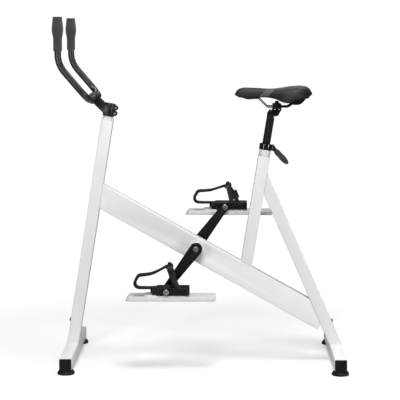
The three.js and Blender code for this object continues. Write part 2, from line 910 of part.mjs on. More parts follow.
function barClampBody() {
  const ring = rodAlongY(barClampDiameter, barClampWidth, 0, 0, stemArmLength);
  const ears = [-1, 1].map((side) => {
    const x = side * (barEarOffset - barEarLength / 4);
    return block(barEarLength, barEarWidth, barEarDepth, x, 0, stemArmLength);
  });
  const bore = rodAlongY(barBore, 2 * barClampWidth, 0, 0, stemArmLength);
  const holes = [-1, 1].map((side) => {
    const diameter = smallBoltDiameter + 2 * seatGap;
    const length = barEarDepth + 2 * cutOverrun;
    return rodAlongZ(diameter, length, side * barEarOffset, 0, stemArmLength, smallSides);
  });
  return { body: join(ring, ...ears), bore, holes };
}

function stem() {
  const clamp = rodAlongZ(stemClampDiameter, stemHeight, 0, 0, stemHeight / 2);
  const earTop = pinchHeights[1] + pinchLobeDiameter / 2;
  const earFoot = pinchHeights[0] - pinchLobeDiameter / 2;
  const earHeight = earTop - earFoot;
  const ears = block(pinchOffset, pinchEarWidth, earHeight, pinchOffset / 2, 0, earFoot + earHeight / 2);
  const lobes = pinchHeights.map((height) => {
    return rodAlongY(pinchLobeDiameter, pinchEarWidth, pinchOffset, 0, height, smallSides);
  });
  const arm = extrude(roundedOutline(stemArmDepth, stemArmWidth, stemArmCorner), stemArmLength);
  const barClamp = barClampBody();
  const faceplateSide = stemArm.beyondEnd(stemArmLength - barClampSplit / 2);
  const belowStem = block(cutReach, cutReach, cutReach, 0, 0, -cutReach / 2);
  const bore = rodAlongZ(steererBore, 2 * stemHeight + stemLift, 0, 0, stemHeight / 2);
  const slitLength = pinchOffset + pinchLobeDiameter;
  const slit = block(slitLength, stemSlit, 2 * stemHeight, slitLength / 2, 0, stemHeight / 2);
  const pinchHoles = pinchHeights.flatMap((height) => {
    const shankRoom = smallBoltDiameter + 2 * seatGap;
    const headRoom = smallBoltHeadDiameter + 2 * seatGap;
    const headY = -pinchEarWidth / 2;
    return [
      rodAlongY(shankRoom, 2 * pinchEarWidth, pinchOffset, 0, height, smallSides),
      rodAlongY(headRoom, 2 * pinchHeadSink, pinchOffset, headY, height, smallSides),
    ];
  });
  const capRoom = rodAlongZ(stemClampDiameter + 2 * seatGap, stemHeight, 0, 0, 1.5 * stemHeight);
  const placed = stemArm.place(geometryOf(cut(join(arm, barClamp.body), barClamp.bore, ...barClamp.holes)));
  const whole = join(clamp, ears, ...lobes, placed);
  return cut(whole, faceplateSide, belowStem, bore, slit, capRoom, ...pinchHoles);
}

function faceplate() {
  const barClamp = barClampBody();
  const keep = stemArmLength + barClampSplit / 2;
  const armSide = block(cutReach, cutReach, cutReach, 0, 0, keep - cutReach / 2);
  const headSeats = [-1, 1].map((side) => {
    const z = stemArmLength + (barEarDepth + barClampDiameter) / 2;
    const diameter = smallBoltHeadDiameter + 2 * seatGap;
    return rodAlongZ(diameter, barClampDiameter, side * barEarOffset, 0, z, smallSides);
  });
  const plate = cut(barClamp.body, armSide, barClamp.bore, ...barClamp.holes, ...headSeats);
  return stemArm.place(geometryOf(plate));
}

// A socket-head bolt along +Z whose head stands on z = 0.
function socketBolt(shank) {
  const bolt = revolve([
    [0, -shank],
    [smallBoltDiameter / 2, -shank],
    [smallBoltDiameter / 2, 0],
    [smallBoltHeadDiameter / 2, 0],
    [smallBoltHeadDiameter / 2, smallBoltHeadHeight],
    [socketWidth / 2, smallBoltHeadHeight],
    [socketWidth / 2, smallBoltHeadHeight - socketDepth],
    [0, smallBoltHeadHeight - socketDepth],
  ], smallSides);
  return bolt;
}

function pinchBolt(height) {
  const bolt = socketBolt(pinchEarWidth - smallBoltDiameter);
  const headFace = pinchHeadSink - pinchEarWidth / 2 - seatGap;
  return bolt.rotateX(Math.PI / 2).translate(pinchOffset, headFace, height);
}

function faceplateBolt(side) {
  const bolt = socketBolt(barEarDepth / 2 + smallBoltBite);
  bolt.translate(side * barEarOffset, 0, stemArmLength + barEarDepth / 2 + seatGap);
  return stemArm.place(bolt);
}

function stemTopCap() {
  const plugOuter = steererBoreDiameter / 2 - turnGap;
  const steererTop = stemHeight - topCapThickness / 2 - seatGap;
  return revolve([
    [plugOuter - topCapPlugWall, steererTop - topCapPlugDepth],
    [plugOuter, steererTop - topCapPlugDepth],
    [plugOuter, stemHeight + seatGap],
    [stemClampDiameter / 2, stemHeight + seatGap],
    [stemClampDiameter / 2, stemHeight + topCapThickness * topCapRimShare],
    [stemClampDiameter / 2 - topCapThickness / 2, stemHeight + topCapThickness],
    [0, stemHeight + topCapThickness],
    [0, stemHeight + seatGap],
    [plugOuter - topCapPlugWall, stemHeight + seatGap],
  ]);
}

// Handlebar, from the middle of its clamp, upright with the bike

function handlebar() {
  const corners = [
    [-barForward, -barHalfWidth, barEndHeight],
    [-barForward, -barHalfWidth, barKneeHeight],
    [0, -barHalfWidth, 0],
    [0, barHalfWidth, 0],
    [-barForward, barHalfWidth, barKneeHeight],
    [-barForward, barHalfWidth, barEndHeight],
  ].map((corner) => new THREE.Vector3(...corner));
  const radii = [barKneeRadius, barCornerRadius, barCornerRadius, barKneeRadius];
  const steps = [barKneeSteps, barCornerSteps, barCornerSteps, barKneeSteps];
  const tube = roundTube(bentRun(corners, radii, steps), barDiameter, barSides);
  const bulge = revolve([
    [0, -barBulgeLength / 2 - barBulgeDiameter / 4],
    [barDiameter / 2 - seatGap, -barBulgeLength / 2 - barBulgeDiameter / 4],
    [barBulgeDiameter / 2, -barBulgeLength / 2],
    [barBulgeDiameter / 2, barBulgeLength / 2],
    [barDiameter / 2 - seatGap, barBulgeLength / 2 + barBulgeDiameter / 4],
    [0, barBulgeLength / 2 + barBulgeDiameter / 4],
  ]);
  return join(tube, bulge.rotateX(Math.PI / 2));
}

function grip(side) {
  const bore = barDiameter / 2 + seatGap;
  const kneeTurn = Math.atan2(barForward, barKneeHeight);
  const bendEnd = barKneeHeight + barKneeRadius * Math.tan(kneeTurn / 2);
  const foot = bendEnd + gripStandoff;
  const top = barEndHeight + seatGap + gripCap;
  const belly = THREE.MathUtils.lerp(top, foot, gripBellyShare);
  const waist = THREE.MathUtils.lerp(top, foot, gripWaistShare);
  const profile = [
    [0, barEndHeight + seatGap],
    [bore, barEndHeight + seatGap],
    [bore, foot],
    [gripWaistDiameter / 2, foot],
  ];
  for (let i = 0; i < gripSteps; i += 1) {
    const height = THREE.MathUtils.lerp(waist, top - gripEdge, i / gripSteps);
    const end = height < belly ? gripWaistDiameter : gripEndDiameter;
    const span = height < belly ? belly - waist : top - belly;
    const swell = Math.cos(Math.min(1, Math.abs(height - belly) / span) * Math.PI) / 2 + 0.5;
    profile.push([(end + (gripBellyDiameter - end) * swell) / 2, height]);
  }
  profile.push([gripEndDiameter / 2, top - gripEdge]);
  profile.push([gripEndDiameter / 2 - gripEdge, top]);
  profile.push([0, top]);
  return revolve(profile).translate(-barForward, side * barHalfWidth, 0);
}

// Seat post, in the frame of the seat tube with z = 0 at the tube's top

function seatPost() {
  const bore = postDiameter / 2 - postWall;
  const tube = revolve([
    [bore, -postInsertLength],
    [postDiameter / 2, -postInsertLength],
    [postDiameter / 2, postExposedLength + headShoulderRise],
    [0, postExposedLength + headShoulderRise],
    [0, postExposedLength - postDiameter],
    [bore, postExposedLength - postDiameter],
  ]);
  const side = new THREE.Shape();
  side.moveTo(-postDiameter / 2, postExposedLength);
  side.lineTo(postDiameter / 2, postExposedLength);
  side.lineTo(headFootReach, headFootHeight);
  side.lineTo(headRearReach, headRearHeight);
  side.lineTo(-headFrontReach, headFrontHeight);
  side.lineTo(-postDiameter / 2, postExposedLength + headShoulderRise);
  const head = plateAcross(side, headWidth, 0);
  const trough = rodAlongY(2 * (cradleRadius + turnGap), 2 * headWidth, headSetback, 0, clampHeight);
  const clampLine = new MemberLine(headSetback, clampHeight, -seatLean);
  const pocketDepth = cradleRadius + clampPocketRise;
  const pocketZ = -cradleRadius - pocketDepth / 2;
  const pocket = block(clampPocketLength, clampPocketWidth, pocketDepth, 0, 0, pocketZ);
  const bridge = rodAlongY(2 * pocketDepth, 2 * headWidth, 0, 0, 0);
  const slotWidth = clampBoltDiameter + 2 * runningGap;
  const slotZ = -(pocketDepth + clampBoltHeadHeight) / 2;
  const slot = block(clampSlotLength, slotWidth, pocketDepth, 0, 0, slotZ);
  const openings = geometryOf(join(cut(pocket, bridge), slot));
  return cut(join(tube, head), trough, clampLine.place(openings));
}

// Rail clamp, level with the floor, from the middle of the rails

const railGroove = railDiameter + 2 * turnGap;
const boltHeadTop = -cradleRadius - clampPocketRise - turnGap;

function railGrooves() {
  return [-1, 1].map((side) => {
    return rodAlongX(railGroove, 2 * cradleLength, 0, side * railHalfSpacing, 0, smallSides);
  });
}

function railCradle() {
  const slab = block(cradleLength, cradleWidth, 2 * cradleSlab, 0, 0, 0);
  const cheekWidth = (cradleWidth - headWidth) / 2 - turnGap;
  const cheeks = [-1, 1].map((side) => {
    const y = side * (cradleWidth - cheekWidth) / 2;
    return block(cradleLength, cheekWidth, 2 * cradleCheekDepth, 0, y, 0);
  });
  const rocker = rodAlongY(2 * cradleRadius, headWidth + cheekWidth, 0, 0, 0);
  const upperHalf = block(cutReach, cutReach, cutReach, 0, 0, cutReach / 2 - seatGap / 2);
  const boltHole = rodAlongZ(clampBoltDiameter + 2 * seatGap, 4 * cradleRadius, 0, 0, 0, smallSides);
  return cut(join(slab, rocker, ...cheeks), upperHalf, boltHole, ...railGrooves());
}

function railClamp() {
  const side = new THREE.Shape();
  side.moveTo(-cradleLength / 2, seatGap / 2);
  side.lineTo(cradleLength / 2, seatGap / 2);
  side.lineTo(cradleLength / 2, railClampHeight - railClampEdge);
  side.lineTo(cradleLength / 2 - railClampEdge, railClampHeight);
  side.lineTo(railClampEdge - cradleLength / 2, railClampHeight);
  side.lineTo(-cradleLength / 2, railClampHeight - railClampEdge);
  const body = plateAcross(side, cradleWidth, 0);
  const boltHole = rodAlongZ(clampBoltDiameter + 2 * seatGap, 4 * cradleRadius, 0, 0, 0, smallSides);
  return cut(body, boltHole, ...railGrooves());
}

function clampBolt() {
  const tip = railClampHeight + clampNutHeight;
  return revolve([
    [0, boltHeadTop - clampBoltHeadHeight],
    [clampBoltHeadDiameter / 2, boltHeadTop - clampBoltHeadHeight],
    [clampBoltHeadDiameter / 2, boltHeadTop],
    [clampBoltDiameter / 2, boltHeadTop],
    [clampBoltDiameter / 2, tip],
    [0, tip],
  ], smallSides);
}

function clampNut() {
  const foot = railClampHeight + seatGap;
  const bore = clampBoltDiameter / 2 + seatGap;
  return revolve([
    [bore, foot],
    [clampNutDiameter / 2, foot],
    [clampNutDiameter / 2, foot + clampNutHeight * clampNutRimShare],
    [clampNutDiameter / 2 - clampNutHeight / 4, foot + clampNutHeight],
    [bore, foot + clampNutHeight],
  ], smallSides);
}

// Saddle, from the middle of its rails

// A value shaped by shares from nose to tail, eased through every station.
function shareAt(shares, place) {
  const places = saddlePlaceShares;
  let i = 0;
  while (i < places.length - 2 && places[i + 1] < place) {
    i += 1;
  }
  const slope = (at) => {
    const [before, after] = [Math.max(at - 1, 0), Math.min(at + 1, places.length - 1)];
    return (shares[after] - shares[before]) / (places[after] - places[before]);
  };
  const span = places[i + 1] - places[i];
  const t = (place - places[i]) / span;
  const rise = shares[i + 1] - shares[i];
  const leave = slope(i) * span;
  const arrive = slope(i + 1) * span;
  return shares[i] + t * (leave + t * (3 * rise - 2 * leave - arrive + t * (leave + arrive - 2 * rise)));
}

function saddleSection(place) {
  const x = place * saddleLength - saddleNoseAhead;
  const half = saddleHalfWidth * shareAt(saddleWidthShares, place);
  const top = saddleHeight * shareAt(saddleTopShares, place);
  const edge = saddleHeight * shareAt(saddleEdgeShares, place);
  const rim = edge + Math.min(saddleLip, (top - edge) / 4);
  const roof = THREE.MathUtils.lerp(saddleNoseRoof, saddleTailRoof, place);
  const under = Math.min(Math.max(roof, rim), (top + rim) / 2);
  const inner = Math.max(half - saddleRim, half / 3);
  return { x, half, inner, top, edge, rim, under };
}

// The underside of the pad at a share of the way out to its rim.
function underPoint(section, outShare, drop = 0) {
  const height = THREE.MathUtils.lerp(section.under, section.rim, Math.abs(outShare) ** saddleUnderPower);
  return new THREE.Vector3(section.x, section.inner * outShare, height - drop);
}

function saddlePlace(station) {
  return (1 - Math.cos(Math.PI * station / saddleStations)) / 2;
}

function saddlePad() {
  const rings = [];
  for (let i = 0; i <= saddleStations; i += 1) {
    const section = saddleSection(saddlePlace(i));
    const ring = [];
    for (let j = -saddleSideSteps; j <= saddleSideSteps; j += 1) {
      const angle = Math.PI / 2 * j / saddleSideSteps;
      const y = section.half * Math.sign(j) * Math.abs(Math.sin(angle)) ** saddleSidePower;
      const crown = Math.max(Math.cos(angle), 0) ** saddleTopPower;
      ring.push(new THREE.Vector3(section.x, y, THREE.MathUtils.lerp(section.edge, section.top, crown)));
    }
    for (let j = saddleSideSteps - 1; j > -saddleSideSteps; j -= 1) {
      ring.push(underPoint(section, j / (saddleSideSteps - 1)));
    }
    rings.push(ring);
  }
  return loft(rings);
}

// A layer that follows the pad's underside between two depths below it.
function underLayer(shallow, deep) {
  const rings = [];
  const reach = saddleSideSteps - 2;
  for (let i = saddleShellInset; i <= saddleStations - saddleShellInset; i += 1) {
    const section = saddleSection(saddlePlace(i));
    const ring = [];
    for (let j = -reach; j <= reach; j += 1) {
      ring.push(underPoint(section, j / (saddleSideSteps - 1), shallow));
    }
    for (let j = reach; j >= -reach; j -= 1) {
      ring.push(underPoint(section, j / (saddleSideSteps - 1), deep));
    }
    rings.push(ring);
  }
  return loft(rings);
}

// The rails as one bent rod, its rear ends made longer where asked.
function railPath(extra = 0) {
  const bend = new THREE.Vector3(railRearBend, -railHalfSpacing, 0);
  const end = new THREE.Vector3(railRearEnd, -railHalfSpacing, railRearEndRise);
  end.addScaledVector(end.clone().sub(bend).normalize(), extra);
  const half = [
    end,
    bend,
    new THREE.Vector3(-railFrontBend, -railHalfSpacing, 0),
    new THREE.Vector3(-railFrontTop, -railFrontTopHalf, railFrontRise),
    new THREE.Vector3(-railNoseReach, -railNoseHalf, railFrontRise),
  ];
  const mirrored = half.map(({ x, y, z }) => new THREE.Vector3(x, -y, z)).reverse();
  const sideRadii = [railBendRadius, railBendRadius, railBendRadius];
  const radii = [...sideRadii, railNoseRadius, railNoseRadius, ...sideRadii];
  return bentRun([...half, ...mirrored], radii, radii.map(() => railBendSteps));
}

function saddleRails() {
  return roundTube(railPath(), railDiameter, railSides);
}

function saddleShell() {
  const shell = underLayer(saddleShellGap, saddleShellGap + saddleShellWall);
  const room = underLayer(saddleShellGap + saddleShellWall / 2, saddleHeight);
  const noseOutline = new THREE.Shape();
  noseOutline.moveTo(-nosePodReach, saddleHeight);
  noseOutline.lineTo(-nosePodReach, nosePodFloor + nosePodRampRise);
  noseOutline.lineTo(nosePodRamp - nosePodReach, nosePodFloor);
  noseOutline.lineTo(-nosePodEnd - nosePodRamp, nosePodFloor);
  noseOutline.lineTo(-nosePodEnd, nosePodFloor + nosePodRampRise);
  noseOutline.lineTo(-nosePodEnd, saddleHeight);
  const nose = plateAcross(noseOutline, 2 * nosePodHalf, 0);
  const rearOutline = new THREE.Shape();
  const rearFlatStart = rearPodStart + rearPodCorner;
  rearOutline.moveTo(rearPodStart, saddleHeight);
  rearOutline.lineTo(rearPodStart, rearPodFloor + rearPodCorner);
  rearOutline.quadraticCurveTo(rearPodStart, rearPodFloor, rearFlatStart, rearPodFloor);
  rearOutline.lineTo(rearFlatStart + rearPodFlat, rearPodFloor);
  rearOutline.quadraticCurveTo(
    (rearFlatStart + rearPodFlat + rearPodEnd) / 2,
    rearPodFloor,
    rearPodEnd,
    rearPodFloor + rearPodRise,
  );
  rearOutline.lineTo(rearPodEnd, saddleHeight);
  const rear = plateAcross(rearOutline, 2 * rearPodHalf, 0);
  const seats = roundTube(railPath(seatGap), railDiameter + 2 * seatGap, railSides);
  return cut(join(shell, common(nose, room), common(rear, room)), seats);
}

// Crank set, from the middle of the bottom bracket

const crankOuterFace = crankInnerFace + crankThickness;
const crankLines = {
  left: new MemberLine(0, 0, -Math.PI / 2 - crankRise),
  right: new MemberLine(0, 0, Math.PI / 2 - crankRise),
};
const sides = { left: -1, right: 1 };

function crankSpindle() {
  const roundHalf = crankInnerFace - runningGap;
  const squareHalf = crankOuterFace - crankBoltRecess;
  const round = rodAlongY(spindleDiameter, 2 * roundHalf, 0, 0, 0);
  const square = block(spindleSquare, 2 * squareHalf, spindleSquare, 0, 0, 0);
  const boltHoles = [-1, 1].map((side) => {
    const boltRoom = crankBoltDiameter + 2 * seatGap;
    return rodAlongY(boltRoom, 2 * crankBoltBite, 0, side * squareHalf, 0, smallSides);
  });
  return crankLines.right.place(geometryOf(cut(join(round, square), ...boltHoles)));
}

// The outline around two circles of different size, the smaller one up.
function taperedOutline(lowRadius, highRadius, length) {
  const tangent = Math.asin((lowRadius - highRadius) / length);
  const outline = new THREE.Shape();
  outline.absarc(0, 0, lowRadius, Math.PI - tangent, tangent, false);
  outline.absarc(0, length, highRadius, tangent, Math.PI - tangent, false);
  return outline;
}

function crank(side) {
  const outline = taperedOutline(crankHeadDiameter / 2, crankEndDiameter / 2, crankLength);
  const arm = new THREE.ExtrudeGeometry(outline, {
    depth: crankThickness - 2 * crankEdge,
    bevelEnabled: true,
    bevelThickness: crankEdge,
    bevelSize: crankEdge,
    bevelOffset: -crankEdge,
    bevelSegments: 1,
    curveSegments: 2 * roundedSteps,
  });
  const middle = sides[side] * (crankInnerFace + crankThickness / 2);
  arm.translate(0, 0, crankEdge - crankThickness / 2).rotateX(Math.PI / 2).translate(0, middle, 0);
  const squareSide = spindleSquare + 2 * seatGap;
  const square = block(squareSide, 2 * crankThickness, squareSide, 0, middle, 0);
  const recessY = sides[side] * crankOuterFace;
  const recess = rodAlongY(crankBoltBore, 2 * crankBoltRecess, 0, recessY, 0);
  const thread = rodAlongY(axleThreadDiameter + 2 * seatGap, 2 * crankThickness, 0, middle, crankLength);
  return crankLines[side].place(geometryOf(cut(arm, square, recess, thread)));
}

function crankBolt(side) {
  const seat = crankOuterFace - crankBoltRecess + seatGap;
  const flangeTop = seat + crankBoltFlange;
  const headTop = flangeTop + crankBoltHeadHeight;
  const flangeRadius = crankBoltBore / 2 - runningGap;
  const bolt = revolve([
    [0, seat - crankBoltBite + cutOverrun],
    [crankBoltDiameter / 2, seat - crankBoltBite + cutOverrun],
    [crankBoltDiameter / 2, seat],
    [flangeRadius, seat],
    [flangeRadius, flangeTop],
    [crankBoltHeadDiameter / 2, flangeTop],
    [crankBoltHeadDiameter / 2, headTop - crankBoltFlange],
    [crankBoltHeadDiameter / 2 - crankBoltFlange, headTop],
    [crankBoltHeadDiameter / 4, headTop],
    [crankBoltHeadDiameter / 4, flangeTop],
    [0, flangeTop],
  ], smallSides);
  return bolt.rotateX(-sides[side] * Math.PI / 2);
}

// Pedals, from the middle of their axles with the bike's own directions

function facingOut(geometry, side) {
  return geometry.rotateX(-sides[side] * Math.PI / 2);
}

const axleCollarFace = crankOuterFace + seatGap;
const pedalMiddle = pedalInnerFace + pedalWidth / 2;
const pedalOuterFace = pedalInnerFace + pedalWidth;

function pedalSpindle(side) {
  const headFace = crankInnerFace - seatGap;
  const flangeEnd = axleCollarFace + axleFlange;
  const nutFace = pedalOuterFace - pedalCorner / 2;
  const spindle = revolve([
    [0, headFace - axleHead],
    [axleHeadDiameter / 2 - axleGroove, headFace - axleHead],
    [axleHeadDiameter / 2, headFace - axleHead + axleGroove],
    [axleHeadDiameter / 2, headFace],
    [axleThreadDiameter / 2, headFace],
    [axleThreadDiameter / 2, axleCollarFace],
    [axleFlangeDiameter / 2, axleCollarFace],
    [axleFlangeDiameter / 2, flangeEnd],
    [axleDiameter / 2, flangeEnd],
    [axleDiameter / 2, nutFace],
    [0, nutFace],
  ], smallSides);
  return facingOut(spindle, side);
}

function strapLine(side) {
  const rise = strapCrownHeight[side] - strapFootHeight;
  const lean = Math.atan2(strapCrownRear - strapFootRear, rise);
  return new MemberLine(strapFootRear, strapFootHeight, lean);
}

function strapLength(side) {
  return Math.hypot(strapFootRear - strapCrownRear, strapCrownHeight[side] - strapFootHeight);
}

function pedalBody(side) {
  const length = pedalFront + pedalRear;
  const middleX = (pedalRear - pedalFront) / 2;
  const deck = extrude(roundedOutline(length, pedalWidth, pedalCorner), pedalDepth);
  deck.translate(middleX, 0, -pedalDepth / 2);
  const noseLength = pedalBlockReach - pedalFront + pedalCorner;
  const noseX = noseLength / 2 - pedalBlockReach;
  const nose = block(noseLength, pedalBlockWidth, pedalBlockDepth, noseX, 0, 0);
  const tools = [rodAlongY(axleDiameter + 2 * runningGap, 2 * pedalWidth, 0, 0, 0)];
  const halfWindow = (pedalWindowWidth - pedalWindowBar) / 2;
  const windowX = (pedalWindowFront + pedalWindowRear) / 2;
  const windowLength = pedalWindowRear - pedalWindowFront;
  for (const part of [-1, 1]) {
    const y = part * (halfWindow + pedalWindowBar) / 2;
    tools.push(block(windowLength, halfWindow, 2 * pedalDepth, windowX, y, 0));
    tools.push(strapSlot(side, part));
  }
  for (let i = 0; i < pedalGrooves; i += 1) {
    const inset = pedalGrooveInset + i * pedalGroovePitch;
    for (const x of [inset - pedalFront, pedalRear - inset]) {
      tools.push(block(pedalGrooveWidth, pedalGrooveSpan, 2 * pedalGrooveDepth, x, 0, pedalDepth / 2));
    }
  }
  const capRoom = dustCapDiameter + 2 * seatGap;
  const capSeat = rodAlongY(capRoom, 2 * dustCapWall, 0, sides[side] * pedalWidth / 2, 0);
  const body = cut(join(deck, nose), ...tools, capSeat);
  return geometryOf(body).translate(0, sides[side] * pedalMiddle, 0);
}

function dustCap(side) {
  const foot = pedalOuterFace - dustCapWall + seatGap;
  const cap = revolve([
    [0, foot],
    [dustCapDiameter / 2, foot],
    [dustCapDiameter / 2, foot + dustCapLength],
    [dustCapDiameter / 2 - dustCapWall, foot + dustCapLength + dustCapWall],
    [0, foot + dustCapLength + dustCapWall],
  ]);
  const face = foot + dustCapLength + dustCapWall;
  const slots = [0, Math.PI / 2].map((turn) => {
    return block(dustCapSlotLength, dustCapSlotWidth, 2 * dustCapSlotDepth, 0, 0, face).rotateZ(turn);
  });
  return facingOut(geometryOf(cut(cap, ...slots)), side);
}

// The straight foot of the strap inside the pedal, with room around it.
function strapSlot(side, part) {
  const length = strapWidth + 2 * runningGap;
  const width = strapThickness + 2 * runningGap;
  const slot = block(length, width, 2 * pedalDepth + 2 * strapBuried, 0, part * strapHalfSpan, 0);
  return strapLine(side).place(slot);
}

function toeStrap(side) {
  const rise = strapLength(side);
  const points = [new THREE.Vector2(strapHalfSpan, -strapBuried)];
  for (let i = 0; i <= strapSteps; i += 1) {
    const angle = Math.PI * i / strapSteps;
    const y = strapHalfSpan * Math.sign(Math.cos(angle)) * Math.abs(Math.cos(angle)) ** strapSidePower;
    points.push(new THREE.Vector2(y, rise * Math.abs(Math.sin(angle)) ** strapCrownPower));
  }
  points.push(new THREE.Vector2(-strapHalfSpan, -strapBuried));
  const arch = stripOutline(points, points.map(() => strapThickness));
  const strap = extrude(arch, strapWidth).translate(0, 0, -strapWidth / 2);
  strap.rotateX(Math.PI / 2).rotateZ(Math.PI / 2);
  const heightShare = buckleHeightShares[side];
  const buckleZ = rise * heightShare;
  const buckleAngle = Math.asin(heightShare ** (1 / strapCrownPower));
  const buckleY = strapHalfSpan * Math.cos(buckleAngle) ** strapSidePower;
  const buckle = block(buckleWidth, buckleThickness, buckleHeight, 0, 0, 0);
  const window = block(buckleWindowWidth, buckleThickness, buckleWindowHeight, 0, 0, 0);
  window.translate(0, buckleThickness / 2, -buckleWindowDrop);
  const placed = geometryOf(cut(buckle, window));
  placed.rotateX(buckleAngle / 3).translate(0, buckleY + buckleThickness / 3, buckleZ);
  placed.rotateZ(side === 'left' ? Math.PI : 0).translate(buckleSetbacks[side], 0, 0);
  const whole = strapLine(side).place(geometryOf(join(strap, placed)));
  return whole.translate(0, sides[side] * pedalMiddle, 0);
}

function toeClip(side) {
  const crown = strapLength(side);
  const line = strapLine(side);
  const loopHalf = strapWidth / 2 + clipLoopRoom + clipLoopWall;
  const loopTop = strapThickness / 2 + clipLoopRoom + clipLoopWall;
  const armEnd = line.point(crown + loopTop - clipLoopWall / 2, clipLoopWall - loopHalf);
  const points = [new THREE.Vector2(-clipStart + clipFootThickness / 2, clipStartHeight)];
  clipLowerReachShares.forEach((share, i) => {
    points.push(new THREE.Vector2(-clipReach * share, clipBrow * clipLowerRiseShares[i]));
  });
  clipUpperReachShares.forEach((share, i) => {
    const height = THREE.MathUtils.lerp(clipBrow, armEnd.z, clipUpperRiseShares[i]);
    points.push(new THREE.Vector2(-clipReach * share, height));
  });
  points.push(new THREE.Vector2(armEnd.x, armEnd.z));
  const smooth = new THREE.SplineCurve(points).getPoints(2 * points.length);
  const thicknesses = smooth.map((_, i) => {
    const along = i / (smooth.length - 1);
    const ahead = along / clipToePlaceShare;
    const behind = (1 - along) / (1 - clipToePlaceShare);
    const nearToe = Math.sin(Math.min(ahead, behind) * Math.PI / 2) ** clipToePower;
    return THREE.MathUtils.lerp(clipThickness, clipToeThickness, nearToe);
  });
  const band = plateAcross(stripOutline(smooth, thicknesses), clipWidth, 0);
  const footX = -clipStart + clipFootThickness / 2;
  const footZ = clipStartHeight + (clipThickness - clipFootHeight) / 2;
  const foot = block(clipFootThickness, clipWidth, clipFootHeight, footX, 0, footZ);
  const loop = block(2 * loopHalf, clipLoopWidth, 2 * loopTop, 0, 0, crown);
  const opening = block(
    2 * loopHalf - 2 * clipLoopWall,
    2 * clipLoopWidth,
    2 * loopTop - 2 * clipLoopWall,
    0,
    0,
    crown,
  );
  const tab = new THREE.Shape();
  const tabFoot = crown + loopTop - clipLoopWall / 2;
  tab.moveTo(-clipTabLength, tabFoot);
  tab.lineTo(0, tabFoot);
  tab.lineTo(clipTabLength, tabFoot + clipTabRise - clipTabTipLength / 2);
  tab.lineTo(clipTabLength - clipTabTipLength, tabFoot + clipTabRise);
  const holder = line.place(geometryOf(join(loop, plateAcross(tab, clipLoopWidth, 0))));
  const room = line.place(opening);
  return geometryOf(cut(join(band, foot, holder), room)).translate(0, sides[side] * pedalMiddle, 0);
}

function paddle(side) {
  const length = paddleFront + paddleRear;
  const middleX = (paddleRear - paddleFront) / 2;
  const outline = (inset) => {
    const half = paddleWidth / 2 - inset;
    const front = inset - paddleFront;
    const rear = paddleRear - inset;
    const frontCorner = paddleFrontCorner - inset;
    const rearCorner = paddleRearCorner - inset;
    const plan = new THREE.Shape();
    plan.absarc(rear - rearCorner, half - rearCorner, rearCorner, 0, Math.PI / 2, false);
    plan.absarc(front + frontCorner, half - frontCorner, frontCorner, Math.PI / 2, Math.PI, false);
    plan.absarc(front + frontCorner, frontCorner - half, frontCorner, Math.PI, 1.5 * Math.PI, false);
    plan.absarc(rear - rearCorner, rearCorner - half, rearCorner, 1.5 * Math.PI, 2 * Math.PI, false);
    return plan;
  };
  const floor = -paddleTop - paddleDepth;
  const plate = extrude(outline(0), paddleDepth, roundedSteps).translate(0, 0, floor);
  const profile = new THREE.Shape();
  profile.moveTo(-paddleFront, floor);
  profile.lineTo(paddleRear - paddleRearTaper, floor);
  profile.lineTo(paddleRear, -paddleTop);
  profile.lineTo(paddleFrontTaper - paddleFront, -paddleTop);
  const trimmed = common(plate, plateAcross(profile, 2 * paddleWidth, 0));
  const hollowDepth = paddleDepth - paddleSkin;
  const inset = paddleFrontTaper > paddleSkin ? paddleFrontTaper / 2 + paddleSkin : paddleSkin;
  const hollow = extrude(outline(inset), hollowDepth).translate(0, 0, floor);
  const ribs = [block(length, paddleRib, paddleDepth, middleX, 0, floor + paddleDepth / 2)];
  for (let i = 1; i <= paddleCrossRibs; i += 1) {
    const x = length * i / (paddleCrossRibs + 1) - paddleFront;
    ribs.push(block(paddleRib, paddleWidth, paddleDepth, x, 0, floor + paddleDepth / 2));
  }
  const hubLength = paddleHubFront + paddleHubRear;
  const hubTop = -pedalDepth / 2 - seatGap;
  const hubHeight = hubTop + paddleTop + paddleSkin / 2;
  const hub = extrude(roundedOutline(hubLength, paddleHubWidth, paddleHubCorner), hubHeight, roundedSteps);
  hub.translate((paddleHubRear - paddleHubFront) / 2, 0, hubTop - hubHeight);
  const whole = join(cut(trimmed, cut(hollow, ...ribs)), hub);
  return geometryOf(whole).translate(0, sides[side] * pedalMiddle, 0);
}

// Assembly

const steererFoot = frontPostLength + seatGap;
const stemFoot = steererFoot + steererCollarHeight + seatGap;
const barCentre = new THREE.Vector3(-stemReach, 0, stemLift).applyMatrix4(frontLine.matrix(stemFoot));
const frontmost = barCentre.x - barForward - gripBellyDiameter / 2;
const rearmost = wheelbase / 2 + footDiameter / 2;

const bike = new THREE.Group();
bike.position.x = -(frontmost + rearmost) / 2;

addPiece(bike, 'front_post', frontPost(), whitePaint);
addPiece(bike, 'main_beam', mainBeam(), whitePaint);
addPiece(bike, 'seat_tube', seatTube(), whitePaint);
addPiece(bike, 'rear_leg', rearLeg(), whitePaint);
addPiece(bike, 'steerer_tube', steererTube(), whitePaint);
const ends = { front: [frontLine, -1], rear: [rearLine, 1] };
for (const [end, [line, direction]] of Object.entries(ends)) {
  addPiece(bike, `${end}_crossbar`, crossbar(line, direction), whitePaint);
  addPiece(bike, `${end}_foot_bolt`, stubBolt(line, direction), steel);
  for (const [side, sign] of Object.entries(sides)) {
    addPiece(bike, `${end}_cap_${side}`, endCap(line, sign), blackPlastic);
    addPiece(bike, `${end}_foot_${side}`, foot(line, sign), blackRubber);
  }
}
addPiece(bike, 'bb_shell', bracketShell(), whitePaint);
addPiece(bike, 'bb_bush_left', bracketBush(sides.left), blackPlastic);
addPiece(bike, 'bb_bush_right', bracketBush(sides.right), blackPlastic);
addPiece(bike, 'seat_tube_sleeve', seatSleeve(), whitePaint);
